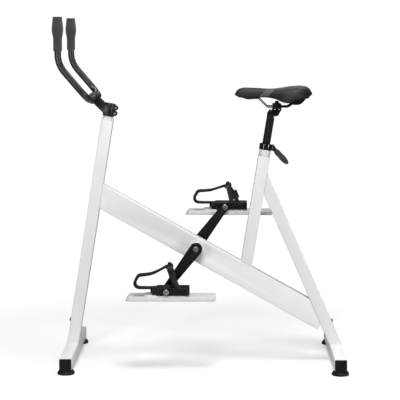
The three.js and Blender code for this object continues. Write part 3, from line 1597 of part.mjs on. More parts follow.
addPiece(bike, 'seat_clamp_collar', seatCollar(), blackPaint);
addPiece(bike, 'clamp_skewer', clampSkewer(), steel);
addPiece(bike, 'clamp_nut', skewerNut(), blackPaint);

const leverGroup = new THREE.Group();
leverGroup.position.copy(seatLine.point(seatTubeLength + skewerHeight, skewerOffset));
leverGroup.position.y = leverPivotY;
leverGroup.rotation.y = leverDrop;
bike.add(leverGroup);
addPiece(leverGroup, 'clamp_lever', clampLever(), blackPlastic);

const stemGroup = new THREE.Group();
stemGroup.position.copy(frontLine.point(stemFoot));
stemGroup.rotation.y = frontLean;
bike.add(stemGroup);
addPiece(stemGroup, 'stem', stem(), blackPaint);
addPiece(stemGroup, 'pinch_bolt_lower', pinchBolt(pinchHeights[0]), steel);
addPiece(stemGroup, 'pinch_bolt_upper', pinchBolt(pinchHeights[1]), steel);
addPiece(stemGroup, 'bar_faceplate', faceplate(), blackPaint);
addPiece(stemGroup, 'faceplate_bolt_lower', faceplateBolt(-1), steel);
addPiece(stemGroup, 'faceplate_bolt_upper', faceplateBolt(1), steel);
addPiece(stemGroup, 'stem_top_cap', stemTopCap(), blackPaint);

const barGroup = new THREE.Group();
barGroup.position.set(-stemReach, 0, stemLift);
barGroup.rotation.y = -frontLean;
stemGroup.add(barGroup);
addPiece(barGroup, 'handlebar', handlebar(), blackPaint);
addPiece(barGroup, 'grip_left', grip(sides.left), greyFoam);
addPiece(barGroup, 'grip_right', grip(sides.right), greyFoam);

const postGroup = new THREE.Group();
postGroup.position.copy(seatLine.point(seatTubeLength));
postGroup.rotation.y = seatLean;
bike.add(postGroup);
addPiece(postGroup, 'seat_post', seatPost(), blackPaint);

const cradleGroup = new THREE.Group();
cradleGroup.position.set(headSetback, 0, clampHeight);
cradleGroup.rotation.y = -seatLean;
postGroup.add(cradleGroup);
addPiece(cradleGroup, 'rail_cradle', railCradle(), blackPaint);
addPiece(cradleGroup, 'rail_clamp', railClamp(), blackPaint);
addPiece(cradleGroup, 'saddle_clamp_bolt', clampBolt(), steel);
addPiece(cradleGroup, 'saddle_clamp_nut', clampNut(), steel);
addPiece(cradleGroup, 'saddle_rails', saddleRails(), blackPaint);
addPiece(cradleGroup, 'saddle_shell', saddleShell(), blackPlastic);
addPiece(cradleGroup, 'saddle_pad', saddlePad(), darkCover);

const crankGroup = new THREE.Group();
crankGroup.position.copy(bottomBracket);
bike.add(crankGroup);
addPiece(crankGroup, 'crank_spindle', crankSpindle(), steel);
for (const side of Object.keys(sides)) {
  addPiece(crankGroup, `crank_${side}`, crank(side), blackPaint);
  addPiece(crankGroup, `crank_bolt_${side}`, crankBolt(side), steel);
  const pedalGroup = new THREE.Group();
  pedalGroup.position.copy(crankLines[side].point(crankLength));
  crankGroup.add(pedalGroup);
  addPiece(pedalGroup, `pedal_spindle_${side}`, pedalSpindle(side), steel);
  addPiece(pedalGroup, `pedal_body_${side}`, pedalBody(side), blackPlastic);
  addPiece(pedalGroup, `dust_cap_${side}`, dustCap(side), steel);
  addPiece(pedalGroup, `toe_clip_${side}`, toeClip(side), blackPlastic);
  addPiece(pedalGroup, `toe_strap_${side}`, toeStrap(side), greyWebbing);
  addPiece(pedalGroup, `paddle_${side}`, paddle(side), palePlastic);
}

export default bike;
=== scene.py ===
"""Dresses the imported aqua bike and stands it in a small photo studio."""

import json
import logging
import math
from dataclasses import dataclass, field
from enum import Enum
from typing import Callable, Optional, Sequence, Union

import bmesh
import bpy
import numpy as np
from mathutils import Matrix, Vector


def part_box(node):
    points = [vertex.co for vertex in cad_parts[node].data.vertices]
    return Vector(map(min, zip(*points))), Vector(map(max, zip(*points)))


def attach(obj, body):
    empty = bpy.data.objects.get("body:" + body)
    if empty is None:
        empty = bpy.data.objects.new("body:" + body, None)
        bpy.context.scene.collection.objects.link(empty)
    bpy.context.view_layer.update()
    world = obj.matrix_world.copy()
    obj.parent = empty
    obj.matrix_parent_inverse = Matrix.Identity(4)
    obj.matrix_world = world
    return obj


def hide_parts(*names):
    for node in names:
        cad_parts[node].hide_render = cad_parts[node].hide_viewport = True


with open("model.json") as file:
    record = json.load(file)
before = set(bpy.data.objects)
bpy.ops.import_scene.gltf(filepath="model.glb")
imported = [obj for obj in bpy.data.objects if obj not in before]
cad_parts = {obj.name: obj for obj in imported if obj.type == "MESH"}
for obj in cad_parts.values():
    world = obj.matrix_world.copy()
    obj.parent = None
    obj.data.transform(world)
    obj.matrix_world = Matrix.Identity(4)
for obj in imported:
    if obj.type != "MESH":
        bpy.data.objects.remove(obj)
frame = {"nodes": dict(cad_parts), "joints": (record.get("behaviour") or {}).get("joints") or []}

LOG = logging.getLogger("aqua_bike")
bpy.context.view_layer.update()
CAD_JOIN = 2e-6  # corners of a solid this close are one, in metres
NEW_JOIN = 1e-6  # corners of a new mesh this close are one, in metres
FLAT_ANGLE = 0.6  # faces of a solid that lean less than this are one, in degrees
BEND_STEPS = 14  # points on each bend of a tube
TUBE_SIDES = 40
GRAIN_SIDES, GRAIN_RINGS = 10, 6  # the mesh of one stitch, rib or stud
MIX_FIRST, MIX_SECOND, MIX_RESULT = 6, 7, 2  # the Mix node's colour sockets

Number = Union[float, "Socket"]
Paint = Union[Sequence[float], "Socket"]
Profile = Sequence[tuple[float, float]]


# Shader maths


class Socket:
    """One value inside a shader, with Python's operators adding the Math nodes."""

    def __init__(self, shader: "Shader", socket: bpy.types.NodeSocket) -> None:
        """Wraps a node's output.

        Args:
            shader: the material being built.
            socket: the output that holds the value.
        """
        self.shader = shader
        self.socket = socket

    def _math(self, operation: str, first: Number, second: Number = 0.0) -> "Socket":
        """Adds a Math node and returns its value."""
        return self.shader.node("ShaderNodeMath", {"operation": operation}, {0: first, 1: second})

    def __add__(self, other: Number) -> "Socket":
        """Sum."""
        return self._math("ADD", self, other)

    def __radd__(self, other: Number) -> "Socket":
        """Sum with the number first."""
        return self._math("ADD", other, self)

    def __sub__(self, other: Number) -> "Socket":
        """Difference."""
        return self._math("SUBTRACT", self, other)

    def __rsub__(self, other: Number) -> "Socket":
        """Difference with the number first."""
        return self._math("SUBTRACT", other, self)

    def __mul__(self, other: Number) -> "Socket":
        """Product."""
        return self._math("MULTIPLY", self, other)

    def __rmul__(self, other: Number) -> "Socket":
        """Product with the number first."""
        return self._math("MULTIPLY", other, self)

    def __pow__(self, other: Number) -> "Socket":
        """Power."""
        return self._math("POWER", self, other)

    def sine(self) -> "Socket":
        """Sine of an angle in radians."""
        return self._math("SINE", self)

    def step(self, low: float, high: float) -> "Socket":
        """Eases from 0 to 1 between two values."""
        inputs = {"Value": self, "From Min": low, "From Max": high}
        return self.shader.node("ShaderNodeMapRange", {"interpolation_type": "SMOOTHSTEP"}, inputs)


class Shader:
    """A material under construction around one principled surface."""

    def __init__(self, name: str) -> None:
        """Starts an empty material.

        Args:
            name: the material's name.
        """
        self.material = bpy.data.materials.new(name)
        self.material.use_nodes = True
        self.tree = self.material.node_tree
        self.tree.nodes.clear()
        output = self.tree.nodes.new("ShaderNodeOutputMaterial")
        self.surface = self.tree.nodes.new("ShaderNodeBsdfPrincipled")
        self.tree.links.new(self.surface.outputs[0], output.inputs["Surface"])
        self._place: Optional[tuple[Socket, Socket, Socket]] = None

    def node(self, kind: str, settings: dict, inputs: dict, output: Union[int, str] = 0) -> Socket:
        """Adds any node.

        Args:
            kind: the node's type.
            settings: its own settings, set before its sockets.
            inputs: values or sockets for its inputs, by name or number.
            output: which output to give back.

        Returns:
            The chosen output.
        """
        made = self.tree.nodes.new(kind)
        for key, value in settings.items():
            setattr(made, key, value)
        for key, value in inputs.items():
            if isinstance(value, Socket):
                self.tree.links.new(value.socket, made.inputs[key])
            else:
                made.inputs[key].default_value = value
        return Socket(self, made.outputs[output])

    def objectwise(self) -> Socket:
        """Object coordinates, in metres."""
        return self.node("ShaderNodeTexCoord", {}, {}, "Object")

    def place(self) -> tuple[Socket, Socket, Socket]:
        """The three coordinates of the shaded point.

        Returns:
            Its x, y and z in metres.
        """
        if self._place is None:
            where = self.objectwise()
            self._place = tuple(self.node("ShaderNodeSeparateXYZ", {}, {0: where}, axis) for axis in "XYZ")
        return self._place

    def noise(self, scale: float, detail: float = 2.0, roughness: float = 0.5) -> Socket:
        """Soft noise between 0 and 1, with its scale in cells per metre."""
        inputs = {"Vector": self.objectwise(), "Scale": scale, "Detail": detail, "Roughness": roughness}
        return self.node("ShaderNodeTexNoise", {}, inputs, "Fac")

    def cells(self, scale: float) -> Socket:
        """Distance to the nearest of many scattered points, as in leather grain."""
        inputs = {"Vector": self.objectwise(), "Scale": scale}
        return self.node("ShaderNodeTexVoronoi", {}, inputs, "Distance")

    def mix(self, factor: Number, first: Paint, second: Paint) -> Socket:
        """Blends two colours.

        Args:
            factor: 0 for the first, 1 for the second.
            first: red, green and blue, or a colour already mixed.
            second: the same for the other colour.

        Returns:
            The blended colour.
        """
        start = first if isinstance(first, Socket) else (*first, 1.0)
        end = second if isinstance(second, Socket) else (*second, 1.0)
        inputs = {"Factor": factor, MIX_FIRST: start, MIX_SECOND: end}
        return self.node("ShaderNodeMix", {"data_type": "RGBA"}, inputs, MIX_RESULT)

    def bump(self, height: Socket, depth: float) -> None:
        """Raises the surface by a height, with the depth in metres."""
        inputs = {"Height": height, "Distance": depth, "Strength": 1.0}
        self.feed("Normal", self.node("ShaderNodeBump", {}, inputs, "Normal"))

    def feed(self, name: str, value: Union[float, Paint]) -> None:
        """Sets or links one of the surface's own sockets.

        Args:
            name: the socket's name.
            value: a number, a colour or a socket of another node.
        """
        socket = self.surface.inputs[name]
        if isinstance(value, Socket):
            self.tree.links.new(value.socket, socket)
        elif isinstance(value, (tuple, list)):
            socket.default_value = (*value, 1.0)
        else:
            socket.default_value = value


# Finishes


def grey(level: float) -> tuple[float, float, float]:
    """A colour of equal red, green and blue."""
    return (level, level, level)


def scaled(colour: Sequence[float], gain: float, lift: float = 0.0) -> tuple[float, ...]:
    """A colour made darker or paler by a gain and a lift."""
    return tuple(part * gain + lift for part in colour)


@dataclass(frozen=True)
class Finish:
    """A surface finish; each kind adds its own pattern.

    A field that holds a noise gives its cells per metre, its detail and the roughness of that detail.
    A field whose name ends in _range gives where the noise starts to show and where it shows in full.
    """

    name: str
    colour: tuple[float, float, float]
    roughness: float
    slot: str

    def pattern(self, shader: Shader) -> None:
        """Adds what varies over the surface.

        Args:
            shader: the material being built.
        """
        raise NotImplementedError

    def material(self) -> bpy.types.Material:
        """Builds the material once and gives the same one after that.

        Returns:
            The finished material.
        """
        found = bpy.data.materials.get(self.name)
        if found is not None:
            return found
        shader = Shader(self.name)
        shader.feed("Base Color", self.colour)
        shader.feed("Roughness", self.roughness)
        self.pattern(shader)
        return shader.material


@dataclass(frozen=True)
class PowderCoat(Finish):
    """Baked powder paint with a faint orange-peel skin."""

    peel: tuple[float, ...] = (320.0, 1.0)
    peel_depth: float = 0.00006
    cloud: tuple[float, ...] = (9.0, 3.0)
    cloud_range: tuple[float, float] = (0.35, 0.75)
    cloud_shade: float = 0.965
    haze: tuple[float, ...] = (40.0, 4.0)
    haze_gain: float = 0.08
    coat: float = 0.25
    coat_roughness: float = 0.18

    def pattern(self, shader: Shader) -> None:
        """Adds the orange peel, a faint unevenness of colour and a slight one of gloss.

        Args:
            shader: the material being built.
        """
        cloud = shader.noise(*self.cloud).step(*self.cloud_range)
        shader.feed("Base Color", shader.mix(cloud, self.colour, scaled(self.colour, self.cloud_shade)))
        shader.feed("Roughness", self.roughness + self.haze_gain * (shader.noise(*self.haze) - 0.5))
        shader.feed("Coat Weight", self.coat)
        shader.feed("Coat Roughness", self.coat_roughness)
        shader.bump(shader.noise(*self.peel), self.peel_depth)


@dataclass(frozen=True)
class GlossCoat(Finish):
    """Black gloss coat on turned and bent metal, with faint rub marks."""

    rub: float = 0.12
    shine: float = 0.5
    mark: tuple[float, ...] = (130.0, 5.0, 0.65)
    mark_range: tuple[float, float] = (0.55, 0.8)
    mark_share: float = 0.6
    mark_gain: float = 1.6
    mark_lift: float = 0.003
    skin: tuple[float, ...] = (700.0, 2.0)
    skin_depth: float = 0.00002

    def pattern(self, shader: Shader) -> None:
        """Adds faint rub marks and a fine skin.

        Args:
            shader: the material being built.
        """
        marks = shader.noise(*self.mark).step(*self.mark_range)
        pale = scaled(self.colour, self.mark_gain, self.mark_lift)
        shader.feed("Base Color", shader.mix(marks * self.mark_share, self.colour, pale))
        shader.feed("Roughness", self.roughness + self.rub * marks)
        shader.feed("Specular IOR Level", self.shine)
        shader.bump(shader.noise(*self.skin), self.skin_depth)


@dataclass(frozen=True)
class Moulded(Finish):
    """Moulded plastic with a fine spark-eroded texture."""

    grain: float = 1800.0
    depth: float = 0.00006
    grain_detail: float = 3.0
    cloud: tuple[float, ...] = (24.0, 4.0)
    cloud_range: tuple[float, float] = (0.4, 0.7)
    cloud_gain: float = 1.12
    cloud_lift: float = 0.004
    scuff: tuple[float, ...] = (260.0, 6.0, 0.7)
    scuff_range: tuple[float, float] = (0.62, 0.78)
    scuff_gloss: float = 0.1
    shine: float = 0.17

    def pattern(self, shader: Shader) -> None:
        """Adds the mould's grain, scuffs and a slightly uneven colour.

        Args:
            shader: the material being built.
        """
        cloud = shader.noise(*self.cloud).step(*self.cloud_range)
        pale = scaled(self.colour, self.cloud_gain, self.cloud_lift)
        shader.feed("Base Color", shader.mix(cloud, self.colour, pale))
        scuff = shader.noise(*self.scuff).step(*self.scuff_range)
        shader.feed("Roughness", self.roughness - self.scuff_gloss * scuff)
        shader.feed("Specular IOR Level", self.shine)
        shader.bump(shader.noise(self.grain, self.grain_detail), self.depth)


@dataclass(frozen=True)
class Foam(Finish):
    """Closed-cell foam sleeve with open pores at its skin."""

    pores: float = 1500.0
    pore_range: tuple[float, float] = (0.15, 0.6)
    # painted shade: how much darker the pores' pits are drawn
    pore_shade: float = 0.55
    sheen: float = 0.25
    sheen_roughness: float = 0.6
    lumps: tuple[float, ...] = (420.0, 3.0)
    lump_share: float = 0.4
    depth: float = 0.0003

    def pattern(self, shader: Shader) -> None:
        """Adds the pores, with painted shade darkening their pits.

        Args:
            shader: the material being built.
        """
        pit = shader.cells(self.pores)
        # painted shade: the pits of the pores are drawn darker
        dark = scaled(self.colour, self.pore_shade)
        shader.feed("Base Color", shader.mix(pit.step(*self.pore_range), dark, self.colour))
        shader.feed("Sheen Weight", self.sheen)
        shader.feed("Sheen Roughness", self.sheen_roughness)
        shader.bump(pit + self.lump_share * shader.noise(*self.lumps), self.depth)


@dataclass(frozen=True)
class Cover(Finish):
    """Grained saddle cover with one paler slanted band let into it."""

    band: tuple[float, float, float] = (0.085, 0.085, 0.088)
    start: float = 0.1905
    end: float = 0.2185
    slant: float = 0.98
    level: float = 0.9116
    shine: float = 0.36
    blur: float = 0.0006
    grain: float = 620.0
    # painted shade in the grain's creases
    crease_range: tuple[float, float] = (0.05, 0.45)
    crease_shade: float = 0.72
    # painted highlight: the crown, the top of the saddle, is drawn paler
    crown_range: tuple[float, float] = (0.018, 0.038)
    crown_gain: float = 1.35
    crown_share: float = 0.7
    crown_gloss: float = 0.06
    weave: float = 900.0
    weave_range: tuple[float, float] = (0.1, 0.5)
    weave_shade: float = 0.8
    band_dullness: float = 0.16
    band_flatness: float = 0.5
    wrinkle: tuple[float, ...] = (90.0, 3.0)
    wrinkle_share: float = 0.3
    depth: float = 0.00028

    def within(self, run: Socket) -> Socket:
        """How far a point lies inside the band.

        Args:
            run: its position along the saddle, at the band's level.

        Returns:
            0 outside the band and 1 inside it.
        """
        after = run.step(self.start - self.blur, self.start + self.blur)
        beyond = run.step(self.end - self.blur, self.end + self.blur)
        return after * (1.0 - beyond)

    def pattern(self, shader: Shader) -> None:
        """Adds the leather grain with painted shade in its creases, the band, and a painted highlight that
        makes the crown paler.

        Args:
            shader: the material being built.
        """
        x, _, z = shader.place()
        inside = self.within(x - self.slant * (z - self.level))
        grain = shader.cells(self.grain)
        # painted shade: the grain's creases are drawn darker
        crease_shadow_colour = scaled(self.colour, self.crease_shade)
        base = shader.mix(grain.step(*self.crease_range), crease_shadow_colour, self.colour)
        # painted highlight: the top of the saddle is drawn paler by height, and is also made glossier
        low, high = self.crown_range
        crown = z.step(self.level + low, self.level + high)
        base = shader.mix(crown * self.crown_share, base, scaled(self.colour, self.crown_gain))
        weave = shader.cells(self.weave).step(*self.weave_range)
        cloth = shader.mix(weave, scaled(self.band, self.weave_shade), self.band)
        shader.feed("Base Color", shader.mix(inside, base, cloth))
        shader.feed("Roughness", self.roughness + self.band_dullness * inside - self.crown_gloss * crown)
        shader.feed("Specular IOR Level", self.shine)
        relief = grain * (1.0 - self.band_flatness * inside)
        shader.bump(relief + self.wrinkle_share * shader.noise(*self.wrinkle), self.depth)


@dataclass(frozen=True)
class Webbing(Finish):
    """Woven strap with a plain weave across and along it."""

    pitch: float = 0.0012
    thread_reach: float = 0.7
    # painted shade: how much darker the threads that run under are drawn
    thread_shade: float = 0.5
    thread_depth: float = 0.0002
    sheen: float = 0.2

    def pattern(self, shader: Shader) -> None:
        """Adds the weave's over-and-under threads, with painted shade on the threads that run under.

        Args:
            shader: the material being built.
        """
        x, y, z = shader.place()
        turn = 2.0 * math.pi / self.pitch
        waves = (x * turn).sine() * ((z + y) * turn).sine()
        over = waves.step(-self.thread_reach, self.thread_reach)
        # painted shade: the threads that run under are drawn darker
        shader.feed("Base Color", shader.mix(over, scaled(self.colour, self.thread_shade), self.colour))
        shader.feed("Sheen Weight", self.sheen)
        shader.bump(over, self.thread_depth)


@dataclass(frozen=True)
class Steel(Finish):
    """Stainless fastener with turning marks."""

    tarnish: tuple[float, ...] = (180.0, 5.0, 0.6)
    dull_range: tuple[float, float] = (0.45, 0.8)
    dull_shade: float = 0.7
    rough_range: tuple[float, float] = (0.4, 0.8)
    rough_gain: float = 0.2
    marks: tuple[float, ...] = (2600.0, 2.0)
    mark_depth: float = 0.00002

    def pattern(self, shader: Shader) -> None:
        """Adds fine turning marks and slight tarnish.

        Args:
            shader: the material being built.
        """
        tarnish = shader.noise(*self.tarnish)
        dull = scaled(self.colour, self.dull_shade)
        shader.feed("Metallic", 1.0)
        shader.feed("Base Color", shader.mix(tarnish.step(*self.dull_range), self.colour, dull))
        shader.feed("Roughness", self.roughness + self.rough_gain * tarnish.step(*self.rough_range))
        shader.bump(shader.noise(*self.marks), self.mark_depth)


class Finishes(Enum):
    """Every finish on the bike."""

    WHITE = PowderCoat("white_powder_coat", (0.75, 0.75, 0.75), 0.42, "white_paint")
    BLACK = GlossCoat("black_gloss_coat", (0.0025, 0.0025, 0.003), 0.1, "black_paint", 0.1, 0.9)
    BAR = GlossCoat("black_bar_coat", (0.008, 0.008, 0.0085), 0.33, "black_paint", 0.02, 0.8)
    SATIN = GlossCoat("black_satin_coat", (0.008, 0.008, 0.0085), 0.34, "black_paint", 0.04, 0.4)
    HEAD = GlossCoat("black_clamp_coat", (0.0015, 0.0015, 0.002), 0.34, "black_paint", 0.06, 0.2)
    CRANK = GlossCoat("black_crank_paint", (0.005, 0.005, 0.0055), 0.42, "black_paint", 0.08, 0.2)
    GRIP = Foam("foam_sleeve", (0.036, 0.036, 0.038), 0.95, "grip_foam")
    PLASTIC = Moulded("black_moulding", (0.004, 0.004, 0.0045), 0.44, "black_plastic")
    LEVER = Moulded("lever_moulding", (0.042, 0.042, 0.045), 0.6, "black_plastic", 1400.0, 0.00012)
    RUBBER = Moulded("rubber_moulding", (0.009, 0.009, 0.0095), 0.5, "foot_rubber", 900.0, 0.0001)
    PALE = Moulded("pale_paddle", (0.59, 0.59, 0.59), 0.46, "pale_plastic", 1300.0, 0.00005)
    COVER = Cover("grained_cover", (0.0085, 0.0085, 0.0092), 0.5, "saddle_cover")
    THREAD = Moulded("stitch_thread", (0.075, 0.075, 0.078), 0.8, "saddle_cover", 2500.0, 0.00008)
    STRAP = Webbing("woven_strap", (0.008, 0.008, 0.0088), 0.82, "strap_webbing")
    STEEL = Steel("stainless_steel", (0.30, 0.30, 0.31), 0.3, "steel")


# Mesh makers


def pivot(joint_name: str) -> Vector:
    """Where a joint of the frame stands."""
    return Vector(next(joint["pos_m"] for joint in frame["joints"] if joint["name"] == joint_name))


def as_piece(
    name: str, mesh: bpy.types.Mesh, finish: Finishes, body: str, *stands_for: str
) -> bpy.types.Object:
    """Puts a finished mesh in the scene and gives it to a body.

    Args:
        name: the piece's name.
        mesh: its mesh, in the bike's own frame and in metres.
        finish: its finish.
        body: the moving body it belongs to.
        *stands_for: the frame's nodes that it replaces.

    Returns:
        The piece.
    """
    piece = bpy.data.objects.new(name, mesh)
    bpy.context.scene.collection.objects.link(piece)
    mesh.materials.clear()
    mesh.materials.append(finish.value.material())
    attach(piece, body)
    if stands_for:
        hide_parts(*stands_for)
    LOG.info("%s: %d faces on %s", name, len(mesh.polygons), body)
    return piece


def mesh_from(
    name: str, points: Sequence[Vector], faces: Sequence[Sequence[int]], smooth: float
) -> bpy.types.Mesh:
    """Makes a closed mesh with outward faces.

    Args:
        name: the mesh's name.
        points: its corners.
        faces: its faces, as indices of corners.
        smooth: the angle in degrees above which an edge stays sharp.

    Returns:
        The mesh.
    """
    mesh = bpy.data.meshes.new(name)
    mesh.from_pydata([tuple(point) for point in points], [], faces)
    shell = bmesh.new()
    shell.from_mesh(mesh)
    bmesh.ops.remove_doubles(shell, verts=shell.verts, dist=NEW_JOIN)
    bmesh.ops.recalc_face_normals(shell, faces=shell.faces)
    shell.to_mesh(mesh)
    shell.free()
    mesh.shade_smooth()
    mesh.set_sharp_from_angle(angle=math.radians(smooth))
    return mesh


def loft(name: str, rings: Sequence[Sequence[Vector]], smooth: float = 50.0) -> bpy.types.Mesh:
    """Joins rings of equally many points into one closed skin.

    Args:
        name: the mesh's name.
        rings: the rings in order.
        smooth: the angle in degrees above which an edge stays sharp.

    Returns:
        The closed mesh.
    """
    count = len(rings[0])
    last = (len(rings) - 1) * count
    faces = []
    for first in range(0, last, count):
        beyond = first + count
        for i in range(count):
            j = (i + 1) % count
            faces.append((first + i, first + j, beyond + j, beyond + i))
    faces.append(tuple(reversed(range(count))))
    faces.append(tuple(last + i for i in range(count)))
    return mesh_from(name, [point for ring in rings for point in ring], faces, smooth)


def turned(
    name: str, profile: Profile, place: Matrix, sides: int = 56, smooth: float = 40.0
) -> bpy.types.Mesh:
    """Turns a profile of (radius, height) pairs about an axis.

    Args:
        name: the mesh's name.
        profile: from one end of the axis to the other, its first and last radius 0.
        place: where the axis's own +Z stands.
        sides: how many sides the turned form has.
        smooth: the angle in degrees above which an edge stays sharp.

    Returns:
        The closed mesh.
    """
    points, faces, rings = [], [], []
    for radius, height in profile:
        count = 1 if radius == 0 else sides
        rings.append((len(points), count))
        for i in range(count):
            angle = 2 * math.pi * i / sides
            points.append(place @ Vector((radius * math.cos(angle), radius * math.sin(angle), height)))
    for (low, low_count), (high, high_count) in zip(rings, rings[1:]):
        for i in range(sides):
            j = (i + 1) % sides
            if low_count == 1 and high_count == 1:
                continue
            if low_count == 1:
                faces.append((low, high + j, high + i))
            elif high_count == 1:
                faces.append((low + i, low + j, high))
            else:
                faces.append((low + i, low + j, high + j, high + i))
    return mesh_from(name, points, faces, smooth)


def refined(node: str, bevel: float = 0.0006, smooth: float = 38.0) -> bpy.types.Mesh:
    """Copies a frame node's mesh with its small edges broken and its curves smooth.

    Args:
        node: the node's name.
        bevel: how wide the broken edge is, in metres.
        smooth: the angle in degrees above which an edge counts as one.

    Returns:
        The finished mesh.
    """
    source = frame["nodes"][node].data.copy()
    shell = bmesh.new()
    shell.from_mesh(source)
    bmesh.ops.remove_doubles(shell, verts=shell.verts, dist=CAD_JOIN)
    flat = math.radians(FLAT_ANGLE)
    bmesh.ops.dissolve_limit(shell, angle_limit=flat, verts=shell.verts, edges=shell.edges)
    shell.to_mesh(source)
    shell.free()
    holder = bpy.data.objects.new(f"{node}_holder", source)
    bpy.context.scene.collection.objects.link(holder)
    edge = holder.modifiers.new("edge", "BEVEL")
    edge.width, edge.segments = bevel, 2
    edge.limit_method, edge.angle_limit = "ANGLE", math.radians(smooth)
    edge.use_clamp_overlap = True
    return settled(holder, smooth)


def settled(holder: bpy.types.Object, smooth: float = 40.0) -> bpy.types.Mesh:
    """Turns an object and its modifiers into one plain mesh and removes the object.

    Args:
        holder: the object to evaluate.
        smooth: the angle in degrees above which an edge stays sharp.

    Returns:
        The plain mesh.
    """
    bpy.context.view_layer.update()
    ready = holder.evaluated_get(bpy.context.evaluated_depsgraph_get())
    mesh = bpy.data.meshes.new_from_object(ready)
    bpy.data.objects.remove(holder)
    mesh.shade_smooth()
    mesh.set_sharp_from_angle(angle=math.radians(smooth))
    return mesh


def eased(value: float, low: float, high: float) -> float:
    """A smooth step from 0 at the low end to 1 at the high end."""
    share = min(1.0, max(0.0, (value - low) / (high - low)))
    return share * share * (3.0 - 2.0 * share)


# Geometry trees


class Tree:
    """A geometry tree built in code, with named inputs for its sizes."""

    def __init__(self, name: str, **sizes: float) -> None:
        """Starts a tree.

        Args:
            name: the tree's name.
            **sizes: its named inputs and their values.
        """
        self.group = bpy.data.node_groups.new(name, "GeometryNodeTree")
        self.group.interface.new_socket("Geometry", in_out="INPUT", socket_type="NodeSocketGeometry")
        self.sizes = sizes
        for size, value in sizes.items():
            socket = self.group.interface.new_socket(size, in_out="INPUT", socket_type="NodeSocketFloat")
            socket.default_value = value
        self.group.interface.new_socket("Geometry", in_out="OUTPUT", socket_type="NodeSocketGeometry")
        self.inlet = self.group.nodes.new("NodeGroupInput")
        self.outlet = self.group.nodes.new("NodeGroupOutput")

    def size(self, name: str) -> bpy.types.NodeSocket:
        """One of the named inputs."""
        return self.inlet.outputs[name]

    def add(
        self, kind: str, settings: dict, inputs: dict, output: Union[int, str] = 0
    ) -> bpy.types.NodeSocket:
        """Adds a node.

        Args:
            kind: the node's type.
            settings: its own settings.
            inputs: values or sockets for its inputs.
            output: which output to give back.

        Returns:
            The chosen output.
        """
        made = self.group.nodes.new(kind)
        for key, value in settings.items():
            setattr(made, key, value)
        for key, value in inputs.items():
            if isinstance(value, bpy.types.NodeSocket):
                self.group.links.new(value, made.inputs[key])
            else:
                made.inputs[key].default_value = value
        return made.outputs[output]

    def grow(
        self, source: bpy.types.Object, shape: bpy.types.NodeSocket, finish: Finishes
    ) -> bpy.types.Mesh:
        """Ends the tree, runs it on an object and gives a plain mesh.

        Args:
            source: the object the tree works on; it is removed afterwards.
            shape: the geometry the tree has made.
            finish: the finish set on it.

        Returns:
            The plain mesh.
        """
        solid = self.add("GeometryNodeRealizeInstances", {}, {"Geometry": shape})
        material = finish.value.material()
        dressed = self.add("GeometryNodeSetMaterial", {}, {"Geometry": solid, "Material": material})
        self.group.links.new(dressed, self.outlet.inputs[0])
        modifier = source.modifiers.new("grow", "NODES")
        modifier.node_group = self.group
        for item in self.group.interface.items_tree:
            if item.in_out == "INPUT" and item.name in self.sizes:
                modifier[item.identifier] = float(self.sizes[item.name])
        return settled(source)


def wire(name: str, corners: Sequence[Vector], bends: Sequence[float]) -> bpy.types.Object:
    """A curve of straight runs whose points carry the radius of the bend there.

    Args:
        name: the curve's name.
        corners: its points.
        bends: the bend radius at each point, in metres.

    Returns:
        The curve object.
    """
    curve = bpy.data.curves.new(name, "CURVE")
    curve.dimensions = "3D"
    spline = curve.splines.new("POLY")
    spline.points.add(len(corners) - 1)
    for point, corner, bend in zip(spline.points, corners, bends):
        point.co = (*corner, 1.0)
        point.radius = bend
    holder = bpy.data.objects.new(name, curve)
    bpy.context.scene.collection.objects.link(holder)
    return holder


def bent_tube(
    name: str, corners: Sequence[Vector], bends: Sequence[float], radius: float, finish: Finishes
) -> bpy.types.Mesh:
    """Bends a round tube along corners with a geometry tree.

    Args:
        name: the tube's name.
        corners: where its straight runs would meet.
        bends: the bend radius at each corner.
        radius: the tube's own radius.
        finish: its finish.

    Returns:
        The tube's closed mesh.
    """
    tree = Tree(f"{name}_tree", **{"Tube Radius": radius})
    bend = tree.add("GeometryNodeInputRadius", {}, {})
    path = tree.inlet.outputs["Geometry"]
    bent = tree.add(
        "GeometryNodeFilletCurve",
        {"mode": "POLY"},
        {"Curve": path, "Radius": bend, "Count": BEND_STEPS, "Limit Radius": True},
    )
    even = tree.add("GeometryNodeSetCurveRadius", {}, {"Curve": bent, "Radius": 1.0})
    outline = {"Resolution": TUBE_SIDES, "Radius": tree.size("Tube Radius")}
    ring = tree.add("GeometryNodeCurvePrimitiveCircle", {}, outline)
    sweep = {"Curve": even, "Profile Curve": ring, "Fill Caps": True}
    skin = tree.add("GeometryNodeCurveToMesh", {}, sweep)
    return tree.grow(wire(f"{name}_path", corners, bends), skin, finish)


